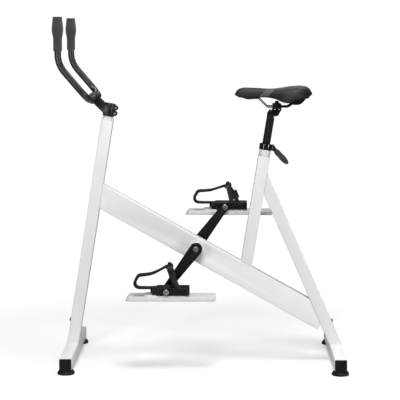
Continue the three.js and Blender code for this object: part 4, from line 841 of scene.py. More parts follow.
def repeated(
    name: str,
    places: Sequence[Matrix],
    grain: Callable[[Tree], bpy.types.NodeSocket],
    finish: Finishes,
    **sizes: float,
) -> bpy.types.Mesh:
    """Sets a small form at many places with a geometry tree.

    Args:
        name: the piece's name.
        places: where each form stands, its +Z out of the surface and +X along its run.
        grain: makes the form's geometry inside the tree.
        finish: its finish.
        **sizes: the form's named sizes.

    Returns:
        One mesh holding every form.
    """
    points = bpy.data.meshes.new(f"{name}_points")
    points.from_pydata([tuple(place.translation) for place in places], [], [])
    for axis, column in (("run", 0), ("out", 2)):
        values = points.attributes.new(axis, "FLOAT_VECTOR", "POINT")
        flat = [part for place in places for part in place.to_3x3().col[column].normalized()]
        values.data.foreach_set("vector", flat)
    holder = bpy.data.objects.new(f"{name}_points", points)
    bpy.context.scene.collection.objects.link(holder)
    tree = Tree(f"{name}_tree", **sizes)
    kind = {"data_type": "FLOAT_VECTOR"}
    run, out = (tree.add("GeometryNodeInputNamedAttribute", kind, {"Name": axis}) for axis in ("run", "out"))
    up = tree.add("FunctionNodeAlignEulerToVector", {"axis": "Z"}, {"Vector": out})
    about = {"axis": "X", "pivot_axis": "Z"}
    turn = tree.add("FunctionNodeAlignEulerToVector", about, {"Rotation": up, "Vector": run})
    cloud = tree.inlet.outputs["Geometry"]
    stamp = {"Points": cloud, "Instance": grain(tree), "Rotation": turn}
    return tree.grow(holder, tree.add("GeometryNodeInstanceOnPoints", {}, stamp), finish)


def lozenge(tree: Tree) -> bpy.types.NodeSocket:
    """A small rounded bar from the tree's Length, Width and Height.

    Args:
        tree: the tree that it is made in.

    Returns:
        The bar's geometry.
    """
    round_form = {"Segments": GRAIN_SIDES, "Rings": GRAIN_RINGS, "Radius": 0.5}
    ball = tree.add("GeometryNodeMeshUVSphere", {}, round_form)
    spans = {"X": tree.size("Length"), "Y": tree.size("Width"), "Z": tree.size("Height")}
    sizes = tree.add("ShaderNodeCombineXYZ", {}, spans)
    return tree.add("GeometryNodeTransform", {}, {"Geometry": ball, "Scale": sizes})


# Sub-assemblies


class Side(Enum):
    """The rider's two sides."""

    LEFT = -1.0
    RIGHT = 1.0

    @property
    def word(self) -> str:
        """The side's name."""
        return self.name.lower()


@dataclass
class Framework:
    """The welded frame, its crossbars, caps and feet."""

    tubes: tuple[str, ...] = (
        "front_post", "main_beam", "seat_tube", "rear_leg", "front_crossbar", "rear_crossbar", "steerer_tube",
    )
    tube_edge: float = 0.0012
    tube_angle: float = 44.0
    bush_edge: float = 0.0003
    cap_edge: float = 0.0008
    bolt_edge: float = 0.0004
    foot_sole: Profile = ((0.0, 0.002), (0.02, 0.002), (0.021, 0.0004), (0.0218, 0.0), (0.028, 0.0))
    foot_wall: Profile = ((0.029, 0.001), (0.029, 0.0064), (0.0284, 0.0076), (0.0268, 0.008))
    foot_shoulder: Profile = ((0.0255, 0.0111), (0.0232, 0.0135), (0.0212, 0.0147), (0.005, 0.0147))
    stud_radius: float = 0.005
    stud_round: float = 0.0008

    def build(self) -> None:
        """Builds and dresses every piece of the frame."""
        for node in self.tubes:
            skin = refined(node, self.tube_edge, self.tube_angle)
            as_piece(f"{node}_skin", skin, Finishes.WHITE, "frame", node)
        as_piece("bb_shell_skin", refined("bb_shell"), Finishes.WHITE, "frame", "bb_shell")
        for side in Side:
            bush = f"bb_bush_{side.word}"
            as_piece(f"{bush}_skin", refined(bush, self.bush_edge), Finishes.PLASTIC, "frame", bush)
            for end in ("front", "rear"):
                cap = f"{end}_cap_{side.word}"
                as_piece(f"{cap}_skin", refined(cap, self.cap_edge), Finishes.PLASTIC, "frame", cap)
                self.foot(f"{end}_foot_{side.word}")
        for end in ("front", "rear"):
            bolt = f"{end}_foot_bolt"
            as_piece(f"{bolt}_skin", refined(bolt, self.bolt_edge), Finishes.STEEL, "frame", bolt)

    def foot(self, node: str) -> None:
        """Turns one rubber foot with its hollow sole, shoulder and moulded stud.

        Args:
            node: the node it stands for.
        """
        low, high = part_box(node)
        place = Matrix.Translation(((low.x + high.x) / 2, (low.y + high.y) / 2, 0.0))
        stud, nib = self.stud_radius, self.stud_round
        tip = ((stud, high.z - nib), (stud - nib, high.z), (0.0, high.z))
        profile = (*self.foot_sole, *self.foot_wall, *self.foot_shoulder, *tip)
        skin = turned(f"{node}_skin", profile, place)
        as_piece(f"{node}_skin", skin, Finishes.RUBBER, "frame", node)


@dataclass
class Cockpit:
    """The stem, the bent handlebar and its foam grips."""

    centre: Vector = field(default_factory=lambda: pivot("handlebar_tilt"))
    metal_edge: float = 0.0007
    bolt_edge: float = 0.0003
    forward: float = 0.0995
    half_width: float = 0.2
    knee: float = 0.117
    end: float = 0.268
    radius: float = 0.0111
    corner_bend: float = 0.045
    knee_bend: float = 0.09
    bulge_radius: float = 0.0127
    bulge_half: float = 0.03
    bulge_slope: float = 0.0063
    bulge_sunk: float = 0.0004
    bulge_round: tuple[float, float] = (0.0003, 0.002)
    grip_length: float = 0.112
    grip_bore: float = 0.0125
    grip_dent: float = 0.0002
    grip_lip: tuple[float, float] = (0.0012, 0.0011)
    grip_cap: Profile = ((0.0, 0.0018), (0.0006, 0.0005), (0.0016, 0.0))
    grip_belly_share: float = 0.37
    grip_waist_share: float = 0.68
    grip_radii: tuple[float, float, float] = (0.0146, 0.019, 0.0155)
    grip_steps: int = 30
    grip_sides: int = 64

    def build(self) -> None:
        """Builds and dresses the stem, bar and grips."""
        for node in ("stem", "bar_faceplate", "stem_top_cap"):
            as_piece(f"{node}_skin", refined(node, self.metal_edge), Finishes.SATIN, "stem", node)
        for bolt in ("pinch_bolt", "faceplate_bolt"):
            for node in (f"{bolt}_lower", f"{bolt}_upper"):
                as_piece(f"{node}_skin", refined(node, self.bolt_edge), Finishes.STEEL, "stem", node)
        self.bar()
        for side in Side:
            self.grip(side)

    def bar(self) -> None:
        """Bends the tube and adds the thicker sleeve at its clamp."""
        ahead, aside = -self.forward, -self.half_width
        run = [(ahead, aside, self.end), (ahead, aside, self.knee), (0.0, aside, 0.0)]
        mirrored = [(x, -y, z) for x, y, z in reversed(run)]
        corners = [self.centre + Vector(point) for point in (*run, *mirrored)]
        bends = [0.0, self.knee_bend, self.corner_bend]
        bends += reversed(bends)
        tube = bent_tube("handlebar_skin", corners, bends, self.radius, Finishes.BAR)
        as_piece("handlebar_skin", tube, Finishes.BAR, "handlebar", "handlebar")
        r, half, (inset, back) = self.bulge_radius, self.bulge_half, self.bulge_round
        inside, foot = self.radius - self.bulge_sunk, -self.bulge_half - self.bulge_slope
        profile = [(0, foot), (inside, foot), (r - inset, -half), (r, back - half)]
        profile += [(radius, -height) for radius, height in reversed(profile)]
        place = Matrix.Translation(self.centre) @ Matrix.Rotation(math.pi / 2, 4, "X")
        sleeve = turned("handlebar_sleeve", profile, place)
        as_piece("handlebar_sleeve", sleeve, Finishes.BAR, "handlebar")

    def grip(self, side: Side) -> None:
        """Turns one foam grip, swollen towards its top.

        Args:
            side: which grip.
        """
        length, (waist, belly, top) = self.grip_length, self.grip_radii
        bore, dent, (inset, chin) = self.grip_bore, self.grip_dent, self.grip_lip
        crest, start = length * (1 - self.grip_belly_share), length * (1 - self.grip_waist_share)
        finish = length - self.grip_cap[0][1]
        profile = [(0, dent), (bore, dent), (waist - inset, 0), (waist, chin)]
        for i in range(self.grip_steps):
            height = start + (finish - start) * i / self.grip_steps
            end, span = (waist, crest - start) if height < crest else (top, length - crest)
            swell = math.cos(min(1.0, abs(height - crest) / span) * math.pi) / 2 + 0.5
            profile.append((end + (belly - end) * swell, height))
        profile += [(top - back, length - drop) for back, drop in self.grip_cap]
        profile.append((0, length))
        node = f"grip_{side.word}"
        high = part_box(node)[1].z
        ahead, aside = self.centre.x - self.forward, side.value * self.half_width
        place = Matrix.Translation((ahead, aside, high - length))
        skin = turned(f"{node}_skin", profile, place, self.grip_sides)
        as_piece(f"{node}_skin", skin, Finishes.GRIP, "handlebar", node)


@dataclass
class SeatPost:
    """The seat post, its clamp on the seat tube and the rail clamp on its head."""

    post_angle: float = 40.0
    clamp_edge: float = 0.0005
    bolt_edge: float = 0.0003
    head_edge: float = 0.0007
    nut_edge: float = 0.0006
    lever_edge: float = 0.0014
    lever_neck: tuple[float, float] = (0.0145, 0.0205)
    lever_swell: tuple[float, float] = (0.014, 0.042)
    lever_gain: tuple[float, float] = (0.5, 0.12)
    lever_stretch: float = 0.04
    rivet_places: tuple[float, ...] = (-0.0075, 0.0065)
    rivet_height: float = 0.0052
    rivet_profile: Profile = ((0, -0.0004), (0.0024, -0.0004), (0.0024, 0.0003), (0.0018, 0.0008), (0, 0.001))
    rivet_sides: int = 20

    def build(self) -> None:
        """Builds and dresses the post and both clamps."""
        post = refined("seat_post", self.clamp_edge, self.post_angle)
        as_piece("seat_post_skin", post, Finishes.BLACK, "seat_post", "seat_post")
        for node, finish, edge in (
            ("seat_tube_sleeve", Finishes.WHITE, self.clamp_edge),
            ("seat_clamp_collar", Finishes.BLACK, self.clamp_edge),
            ("clamp_nut", Finishes.HEAD, self.clamp_edge),
            ("clamp_skewer", Finishes.STEEL, self.bolt_edge),
        ):
            as_piece(f"{node}_skin", refined(node, edge), finish, "frame", node)
        as_piece("clamp_lever_skin", self.lever(), Finishes.LEVER, "lever", "clamp_lever")
        for name, node, finish, edge in (
            ("rail_cradle_skin", "rail_cradle", Finishes.HEAD, self.head_edge),
            ("rail_clamp_skin", "rail_clamp", Finishes.HEAD, self.head_edge),
            ("clamp_bolt_skin", "saddle_clamp_bolt", Finishes.STEEL, self.bolt_edge),
            ("clamp_nut_top_skin", "saddle_clamp_nut", Finishes.HEAD, self.nut_edge),
        ):
            as_piece(name, refined(node, edge), finish, "cradle", node)
        self.rivets()

    def lever(self) -> bpy.types.Mesh:
        """Copies the clamp lever with its blade swollen to a fuller leaf.

        Returns:
            The finished lever.
        """
        swing = next(joint for joint in frame["joints"] if joint["name"] == "clamp_lever_swing")
        pin, axis = Vector(swing["pos_m"]), Vector(swing["axis"])
        run = axis.cross(Vector((0.0, -1.0, 0.0)))
        mesh = refined("clamp_lever", self.lever_edge)
        root, tip = self.lever_gain
        for vertex in mesh.vertices:
            along, aside = (vertex.co - pin).dot(run), (vertex.co - pin).dot(axis)
            gain = (root + (tip - root) * eased(along, *self.lever_swell)) * eased(along, *self.lever_neck)
            vertex.co += axis * aside * gain + run * max(along, 0.0) * self.lever_stretch
        return mesh

    def rivets(self) -> None:
        """Adds the two small bright rivets on each cheek of the cradle."""
        low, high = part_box("rail_cradle")
        middle = (low.x + high.x) / 2
        for index, ahead in enumerate(self.rivet_places):
            for side, word in ((-1.0, "near"), (1.0, "far")):
                turn = Matrix.Rotation(-side * math.pi / 2, 4, "X")
                place = Matrix.Translation((middle + ahead, side * high.y, low.z + self.rivet_height)) @ turn
                name = f"cradle_rivet_{index}_{word}"
                rivet = turned(name, self.rivet_profile, place, self.rivet_sides)
                as_piece(name, rivet, Finishes.STEEL, "cradle")


@dataclass
class Saddle:
    """The padded saddle: a swollen cover over foam, its stitched band, base and rails."""

    centre: Vector = field(default_factory=lambda: pivot("saddle_tilt"))
    length: float = 0.264
    nose_ahead: float = 0.144
    height: float = 0.07
    half_width: float = 0.08
    nose_roof: float = 0.04
    tail_roof: float = 0.033
    rim: float = 0.006
    lip: float = 0.003
    top_power: float = 0.55
    side_power: float = 0.85
    under_power: float = 2.5
    stations: int = 96
    side_steps: int = 26
    smooth: float = 60.0
    base_edge: float = 0.0004
    swell: float = 0.0012
    swell_level: float = 0.04
    swell_fade: float = 0.012
    pressure: float = 4.0
    stiffness: float = 40.0
    frames: int = 20
    calm_rounds: int = 4
    stitch_count: int = 60
    stitch_reach: float = 84.0
    stitch_core: float = 0.03
    stitch_size: tuple[float, float, float] = (0.0024, 0.0007, 0.0008)
    search_rounds: int = 24
    rail_radius: float = 0.0035
    rail_line: tuple[tuple[float, float, float], ...] = (
        (0.070, -0.022, 0.021), (0.036, -0.022, 0.0), (-0.033, -0.022, 0.0), (-0.062, -0.013, 0.029),
        (-0.104, -0.009, 0.029),
    )
    rail_bends: tuple[float, ...] = (0.0, 0.012, 0.012, 0.012, 0.008)
    places: tuple[float, ...] = (0, 0.03, 0.09, 0.19, 0.31, 0.42, 0.52, 0.62, 0.7, 0.78, 0.85, 0.92, 0.97, 1)
    tops: tuple[float, ...] = (
        0.63, 0.79, 0.9, 0.905, 0.885, 0.857, 0.865, 0.915, 0.965, 0.993, 1, 0.957, 0.85, 0.69,
    )
    edges: tuple[float, ...] = (
        0.54, 0.46, 0.4, 0.36, 0.43, 0.457, 0.343, 0.17, 0.145, 0.31, 0.37, 0.4, 0.48, 0.57,
    )
    widths: tuple[float, ...] = (
        0.08, 0.2, 0.25, 0.28, 0.325, 0.475, 0.69, 0.9, 0.99, 1, 0.925, 0.69, 0.4, 0.12,
    )

    def share(self, shares: Sequence[float], place: float) -> float:
        """Eases through shares that stand at the saddle's stations.

        Args:
            shares: one share for each station.
            place: from 0 at the nose to 1 at the tail.

        Returns:
            The share there.
        """
        spots = self.places
        i = 0
        while i < len(spots) - 2 and spots[i + 1] < place:
            i += 1

        def slope(at: int) -> float:
            """Slope of the shares at a station."""
            before, after = max(at - 1, 0), min(at + 1, len(spots) - 1)
            return (shares[after] - shares[before]) / (spots[after] - spots[before])

        span = spots[i + 1] - spots[i]
        t = (place - spots[i]) / span
        rise = shares[i + 1] - shares[i]
        leave, arrive = slope(i) * span, slope(i + 1) * span
        bend, twist = 3 * rise - 2 * leave - arrive, leave + arrive - 2 * rise
        return shares[i] + t * (leave + t * (bend + t * twist))

    def outer(self, place: float, angle: float) -> Vector:
        """A point on the cover's outside.

        Args:
            place: from 0 at the nose to 1 at the tail.
            angle: from minus to plus a right angle, 0 at the crown.

        Returns:
            The point, in the bike's frame.
        """
        half = self.half_width * self.share(self.widths, place)
        top = self.height * self.share(self.tops, place)
        edge = self.height * self.share(self.edges, place)
        y = half * math.copysign(abs(math.sin(angle)) ** self.side_power, angle)
        z = edge + (top - edge) * max(math.cos(angle), 0.0) ** self.top_power
        return self.centre + Vector((place * self.length - self.nose_ahead, y, z))

    def under(self, place: float, out: float) -> Vector:
        """A point on the cover's underside.

        Args:
            place: from 0 at the nose to 1 at the tail.
            out: from -1 at the left rim to 1 at the right rim.

        Returns:
            The point, in the bike's frame.
        """
        half = self.half_width * self.share(self.widths, place)
        top = self.height * self.share(self.tops, place)
        edge = self.height * self.share(self.edges, place)
        rim = edge + min(self.lip, (top - edge) / 4)
        roof = self.nose_roof + (self.tail_roof - self.nose_roof) * place
        middle = min(max(roof, rim), (top + rim) / 2)
        inner = max(half - self.rim, half / 3)
        z = middle + (rim - middle) * abs(out) ** self.under_power
        return self.centre + Vector((place * self.length - self.nose_ahead, inner * out, z))

    def build(self) -> None:
        """Builds and dresses the cover, its seams, the base and the rails."""
        cover = as_piece("saddle_cover_skin", self.cover(), Finishes.COVER, "saddle", "saddle_pad")
        self.seams()
        base = refined("saddle_shell", self.base_edge)
        as_piece("saddle_base_skin", base, Finishes.PLASTIC, "saddle", "saddle_shell")
        self.rails()

    def cover(self) -> bpy.types.Mesh:
        """Lofts the cover and lets its foam swell.

        Returns:
            The cover's closed mesh.
        """
        rings = []
        steps, inside = self.side_steps, self.side_steps - 2
        for i in range(self.stations + 1):
            place = (1 - math.cos(math.pi * i / self.stations)) / 2
            ring = [self.outer(place, math.pi / 2 * j / steps) for j in range(-steps, steps + 1)]
            ring += [self.under(place, j / inside) for j in range(inside, -inside - 1, -1)]
            rings.append(ring)
        mesh = loft("saddle_cover_skin", rings, self.smooth)
        return self.swollen(mesh)

    def swollen(self, mesh: bpy.types.Mesh) -> bpy.types.Mesh:
        """Runs a short cloth simulation under pressure and keeps its shape close to the foam's.

        Args:
            mesh: the cover before it swells.

        Returns:
            The settled cover.
        """
        before = np.empty(len(mesh.vertices) * 3)
        mesh.vertices.foreach_get("co", before)
        cloth_holder = bpy.data.objects.new("cover_cloth", mesh)
        bpy.context.scene.collection.objects.link(cloth_holder)
        cloth = cloth_holder.modifiers.new("cloth", "CLOTH")
        cloth.settings.use_pressure = True
        cloth.settings.uniform_pressure_force = self.pressure
        cloth.settings.effector_weights.gravity = 0.0
        cloth.settings.tension_stiffness = cloth.settings.compression_stiffness = self.stiffness
        cloth.point_cache.frame_start, cloth.point_cache.frame_end = 1, self.frames
        scene = bpy.context.scene
        for step in range(1, self.frames + 1):
            scene.frame_set(step)
        ready = cloth_holder.evaluated_get(bpy.context.evaluated_depsgraph_get())
        result = bpy.data.meshes.new_from_object(ready)
        bpy.data.objects.remove(cloth_holder)
        scene.frame_set(1)
        after = np.empty_like(before)
        result.vertices.foreach_get("co", after)
        move = (after - before).reshape(-1, 3)
        size = np.linalg.norm(move, axis=1, keepdims=True)
        kept = move * (self.swell / np.maximum(size, self.swell))
        points = before.reshape(-1, 3)
        level = self.centre.z + self.swell_level
        lift = np.clip((points[:, 2:3] - level) / self.swell_fade, 0.0, 1.0)
        result.vertices.foreach_set("co", (points + kept * lift).ravel())
        smooth_holder = bpy.data.objects.new("cover_smooth", result)
        bpy.context.scene.collection.objects.link(smooth_holder)
        calm = smooth_holder.modifiers.new("calm", "CORRECTIVE_SMOOTH")
        calm.iterations, calm.use_only_smooth = self.calm_rounds, True
        finer = smooth_holder.modifiers.new("finer", "SUBSURF")
        finer.levels = finer.render_levels = 1
        return settled(smooth_holder, self.smooth)

    def seams(self) -> None:
        """Stitches both edges of the paler band with a geometry tree."""
        cover, core = Finishes.COVER.value, self.centre.z + self.stitch_core
        length, width, height = self.stitch_size
        shares = [2 * i / self.stitch_count - 1 for i in range(self.stitch_count + 1)]
        for name, line in (("front", cover.start), ("rear", cover.end)):
            places = []
            path = [self.on_band(line, math.radians(self.stitch_reach * share)) for share in shares]
            for here, beyond in zip(path, path[1:]):
                run = (beyond - here).normalized()
                middle = (here + beyond) / 2
                out = (middle - Vector((middle.x, 0.0, core))).normalized()
                side = out.cross(run).normalized()
                turn = Matrix((run, side, run.cross(side))).transposed().to_4x4()
                places.append(Matrix.Translation(middle) @ turn)
            piece, finish = f"saddle_stitches_{name}", Finishes.THREAD
            mesh = repeated(piece, places, lozenge, finish, Length=length, Width=width, Height=height)
            as_piece(piece, mesh, finish, "saddle")

    def on_band(self, line: float, angle: float) -> Vector:
        """The point of the cover where the band's edge crosses an angle round it.

        Args:
            line: the edge's position along the saddle at the band's level.
            angle: the angle round the cover.

        Returns:
            The point on the cover.
        """
        cover = Finishes.COVER.value
        low, high = 0.0, 1.0
        for _ in range(self.search_rounds):
            middle = (low + high) / 2
            point = self.outer(middle, angle)
            if point.x - cover.slant * (point.z - cover.level) < line:
                low = middle
            else:
                high = middle
        return self.outer((low + high) / 2, angle)

    def rails(self) -> None:
        """Bends the rail wire with its wide turns."""
        line, bends = self.rail_line, self.rail_bends
        mirrored = [(x, -y, z) for x, y, z in reversed(line)]
        corners = [self.centre + Vector(point) for point in (*line, *mirrored)]
        turns = (*bends, *reversed(bends))
        mesh = bent_tube("saddle_rails_skin", corners, turns, self.rail_radius, Finishes.BLACK)
        as_piece("saddle_rails_skin", mesh, Finishes.BLACK, "saddle", "saddle_rails")


@dataclass
class Drive:
    """The bottom bracket's spindle, the cranks and their bolts."""

    arm_edge: float = 0.0008
    bolt_edge: float = 0.0004

    def build(self) -> None:
        """Builds and dresses the crank set."""
        spindle = refined("crank_spindle", self.bolt_edge)
        as_piece("crank_spindle_skin", spindle, Finishes.STEEL, "crank", "crank_spindle")
        for side in Side:
            crank = f"crank_{side.word}"
            as_piece(f"{crank}_skin", refined(crank, self.arm_edge), Finishes.CRANK, "crank", crank)
            for node in (f"crank_bolt_{side.word}", f"pedal_spindle_{side.word}"):
                as_piece(f"{node}_skin", refined(node, self.bolt_edge), Finishes.STEEL, "crank", node)


@dataclass
class Pedal:
    """One pedal with its toe clip, strap, dust cap and water paddle."""

    side: Side
    crown: float
    middle: float = 0.115
    top: float = 0.012
    body_edge: float = 0.0008
    cap_edge: float = 0.0005
    paddle_edge: float = 0.0014
    clip_edge: float = 0.0012
    stud_ends: tuple[float, float] = (-0.0225, 0.0655)
    stud_rows: int = 3
    stud_pitch: tuple[float, float] = (0.007, 0.0062)
    stud_size: float = 0.0032
    stud_height: float = 0.0016
    stud_columns: int = 9
    strap_half_span: float = 0.033
    strap_foot: tuple[float, float] = (0.036, 0.004)
    strap_crown: float = 0.010
    strap_width: float = 0.0155
    strap_thickness: float = 0.0025
    strap_buried: float = 0.011
    strap_skew: float = 0.009
    strap_bow: float = 0.0
    strap_steps: int = 64
    strap_corner_steps: int = 5
    side_power: float = 0.6
    crown_power: float = 0.8
    rib_start: float = 0.06
    rib_step: float = 0.012
    rib_count: int = 12
    rib_reach: float = 0.004
    rib_size: tuple[float, float, float] = (0.0125, 0.0011, 0.0012)
    buckle_share: float = 0.44
    buckle_setback: float = 0.0015
    buckle_size: tuple[float, float, float] = (0.023, 0.030, 0.006)
    window_size: tuple[float, float] = (0.005, 0.012)
    window_drop: float = 0.005
    tongue_inset: float = 0.004
    tongue_size: tuple[float, float] = (0.011, 0.003)
    tongue_height: float = 0.0065
    ridge_inset: float = 0.006
    ridge_size: tuple[float, float] = (0.0016, 0.001)
    ridge_heights: tuple[float, float] = (0.0045, 0.0075)
    ridge_rise: float = 0.0017
    buckle_voxel: float = 0.0005
    buckle_rounds: int = 3
    buckle_smooth: float = 60.0
    clip_lift: tuple[float, float] = (0.008, -0.005)
    clip_brow: float = 0.080
    clip_sag: float = 2.5
    clip_growth: float = 0.001
    clip_rise: tuple[float, float] = (0.028, 0.046)
    clip_toe: tuple[float, float] = (0.066, 0.090)
    clip_lean: tuple[float, float, float] = (0.004, 0.015, 0.050)

    @property
    def body(self) -> str:
        """The moving body this pedal is."""
        return f"{self.side.word}_pedal"

    def build(self) -> None:
        """Builds and dresses the pedal."""
        word = self.side.word
        for node, finish, edge in (
            (f"pedal_body_{word}", Finishes.PLASTIC, self.body_edge),
            (f"dust_cap_{word}", Finishes.STEEL, self.cap_edge),
            (f"paddle_{word}", Finishes.PALE, self.paddle_edge),
        ):
            as_piece(f"{node}_skin", refined(node, edge), finish, self.body, node)
        as_piece(f"toe_clip_{word}_skin", self.clip(), Finishes.PLASTIC, self.body, f"toe_clip_{word}")
        self.strap()
        self.studs()

    def centre(self) -> Vector:
        """The middle of the pedal on its axle."""
        return pivot(f"{self.side.word}_pedal_spin") + Vector((0.0, self.side.value * self.middle, 0.0))

    def clip(self) -> bpy.types.Mesh:
        """Copies the toe clip with its upper arm sloped and its toe leant forward.

        Returns:
            The finished clip.
        """
        mesh = refined(f"toe_clip_{self.side.word}", self.clip_edge)
        (back, brow), (lean, low, high) = self.clip_lift, self.clip_lean
        centre = self.centre()
        for vertex in mesh.vertices:
            spot = vertex.co - centre
            slope = 1.0 - (1.0 - min(1.0, max(0.0, -spot.x / self.clip_brow))) ** self.clip_sag
            vertex.co += vertex.normal * self.clip_growth
            vertex.co.z += (back + (brow - back) * slope) * eased(spot.z, *self.clip_rise)
            vertex.co.x -= lean * eased(-spot.x, *self.clip_toe) * (1.0 - eased(spot.z, low, high))
        return mesh

    def skewed(self, aside: float, height: float) -> Vector:
        """How far back a point of the strap stands: its outer leg back, its inner one forward.

        Args:
            aside: how far to the right of the pedal's middle the point is.
            height: how far up the strap it is.

        Returns:
            The shift, along the bike.
        """
        share, rise = aside * self.side.value / self.strap_half_span, height / self.strap_axes()[3]
        bow = self.strap_bow * max(share, 0.0) * math.sin(math.pi * min(1.0, max(0.0, rise)))
        return Vector((self.strap_skew * share * (1.0 - rise) + bow, 0.0, 0.0))

    def strap_axes(self) -> tuple[Vector, Vector, Vector, float]:
        """The strap's own directions.

        Returns:
            Its foot, its direction up, its direction across its width and its length to the crown.
        """
        foot = Vector((self.strap_foot[0], 0.0, self.strap_foot[1]))
        rise = Vector((self.strap_crown, 0.0, self.crown)) - foot
        up = rise.normalized()
        return self.centre() + foot, up, Vector((up.z, 0.0, -up.x)), rise.length

    def arch(self, share: float) -> tuple[float, float]:
        """The strap's line in its own plane.

        Args:
            share: from 0 at one foot to 1 at the other.

        Returns:
            How far aside and how high it is.
        """
        length = self.strap_axes()[3]
        angle = math.pi * share
        aside = self.strap_half_span * math.copysign(abs(math.cos(angle)) ** self.side_power, math.cos(angle))
        return aside, length * math.sin(angle) ** self.crown_power if 0 < share < 1 else 0.0

    def line(self, steps: int) -> list[tuple[float, float]]:
        """Points along the whole strap, its buried ends included.

        Args:
            steps: how many pieces its visible line is cut into.

        Returns:
            For each point, how far aside and how high it is.
        """
        inner = [self.arch(i / steps) for i in range(steps + 1)]
        first = (self.strap_half_span, -self.strap_buried)
        last = (-self.strap_half_span, -self.strap_buried)
        return [first, *inner, last]

    def strap(self) -> None:
        """Lofts the strap with its rounded edges, buckle and locking ribs."""
        foot, up, across, length = self.strap_axes()
        line = self.line(self.strap_steps)
        rings = []
        half, thick = self.strap_width / 2, self.strap_thickness / 2
        sides = 4 * self.strap_corner_steps
        for i, (aside, height) in enumerate(line):
            before, after = line[max(i - 1, 0)], line[min(i + 1, len(line) - 1)]
            run = Vector((0.0, after[0] - before[0], 0.0)) + up * (after[1] - before[1])
            normal = run.normalized().cross(across).normalized()
            point = foot + Vector((0.0, aside, 0.0)) + up * height + self.skewed(aside, height)
            ring = []
            for k in range(sides):
                angle = 2 * math.pi * (k + 0.5) / sides
                x = math.copysign(half - thick, math.cos(angle)) + thick * math.cos(angle)
                ring.append(point + across * x + normal * thick * math.sin(angle))
            rings.append(ring)
        node = f"toe_strap_{self.side.word}"
        mesh = loft(f"{node}_skin", rings)
        as_piece(f"{node}_skin", mesh, Finishes.STRAP, self.body, node)
        self.buckle(foot, up, across, length)
        self.ribs(foot, up, across)

    def buckle(self, foot: Vector, up: Vector, across: Vector, length: float) -> None:
        """Makes the cam buckle: a framed plate with a slot and a raised tongue.

        Args:
            foot: the strap's foot.
            up: its direction up.
            across: its direction across its width.
            length: its length to the crown.
        """
        share = self.buckle_share
        angle = math.asin(share ** (1 / self.crown_power))
        aside = self.strap_half_span * math.cos(angle) ** self.side_power + self.buckle_size[2] / 3
        out = Vector((0.0, self.side.value, 0.0))
        normal = (out * math.cos(angle / 3) + up * math.sin(angle / 3)).normalized()
        rise = (up * math.cos(angle / 3) - out * math.sin(angle / 3)).normalized()
        middle = foot + out * aside + up * (length * share) + across * self.buckle_setback
        middle += self.skewed(self.side.value * self.strap_half_span, length * share)
        place = Matrix.Translation(middle) @ Matrix((across, rise, normal)).transposed().to_4x4()
        name = f"buckle_{self.side.word}"
        width, height, thick = self.buckle_size
        gap, tall = self.window_size
        rail, low, high = (width - gap) / 2, -self.window_drop - tall / 2, -self.window_drop + tall / 2
        blocks = [((rail, height, thick), (side * (gap + rail) / 2, 0, 0)) for side in (1, -1)]
        blocks.append(((width, height / 2 - high, thick), (0, (height / 2 + high) / 2, 0)))
        blocks.append(((width, height / 2 + low, thick), (0, (low - height / 2) / 2, 0)))
        tongue = (width - self.tongue_inset, *self.tongue_size)
        blocks.append((tongue, (0, self.tongue_height, thick / 2)))
        ridge = (width - self.ridge_inset, *self.ridge_size)
        blocks += [(ridge, (0, spot, thick / 2 + self.ridge_rise)) for spot in self.ridge_heights]
        plate = bmesh.new()
        for size, spot in blocks:
            spin = Matrix.Translation(spot) @ Matrix.Diagonal((*size, 1.0))
            bmesh.ops.create_cube(plate, size=1.0, matrix=place @ spin)
        mesh = bpy.data.meshes.new(name)
        plate.to_mesh(mesh)
        plate.free()
        holder = bpy.data.objects.new(name, mesh)
        bpy.context.scene.collection.objects.link(holder)
        solid = holder.modifiers.new("whole", "REMESH")
        solid.mode, solid.voxel_size = "VOXEL", self.buckle_voxel
        calm = holder.modifiers.new("calm", "CORRECTIVE_SMOOTH")
        calm.iterations, calm.use_only_smooth = self.buckle_rounds, True
        as_piece(name, settled(holder, self.buckle_smooth), Finishes.PLASTIC, self.body)

    def ribs(self, foot: Vector, up: Vector, across: Vector) -> None:
        """Sets the strap's small locking ribs on its outer leg.

        Args:
            foot: the strap's foot.
            up: its direction up.
            across: its direction across its width.
        """
        places = []
        for i in range(self.rib_count):
            share = self.rib_start + self.rib_step * i
            if self.side is Side.LEFT:
                share = 1.0 - share
            here, beyond = self.arch(share), self.arch(share + self.rib_reach)
            run = Vector((0.0, beyond[0] - here[0], 0.0)) + up * (beyond[1] - here[1])
            normal = run.normalized().cross(across).normalized()
            if normal.y * self.side.value < 0:
                normal = -normal
            point = foot + Vector((0.0, here[0], 0.0)) + up * here[1] + self.skewed(*here)
            point += normal * (self.strap_thickness / 2)
            turn = Matrix((across, normal.cross(across), normal)).transposed().to_4x4()
            places.append(Matrix.Translation(point) @ turn)
        name = f"strap_ribs_{self.side.word}"
        length, width, height = self.rib_size
        mesh = repeated(name, places, lozenge, Finishes.STRAP, Length=length, Width=width, Height=height)
        as_piece(name, mesh, Finishes.STRAP, self.body)

    def studs(self) -> None:
        """Sets the rows of grip studs at both ends of the pedal's top."""
        places = []
        along, aside = self.stud_pitch
        for end in self.stud_ends:
            for row in range(self.stud_rows):
                for column in range(self.stud_columns):
                    x = end + (row - (self.stud_rows - 1) / 2) * along
                    y = (column - (self.stud_columns - 1) / 2) * aside
                    places.append(Matrix.Translation(self.centre() + Vector((x, y, self.top))))
        name = f"pedal_studs_{self.side.word}"
        size, height = self.stud_size, self.stud_height
        mesh = repeated(name, places, lozenge, Finishes.PLASTIC, Length=size, Width=size, Height=height)
        as_piece(name, mesh, Finishes.PLASTIC, self.body)


# Studio


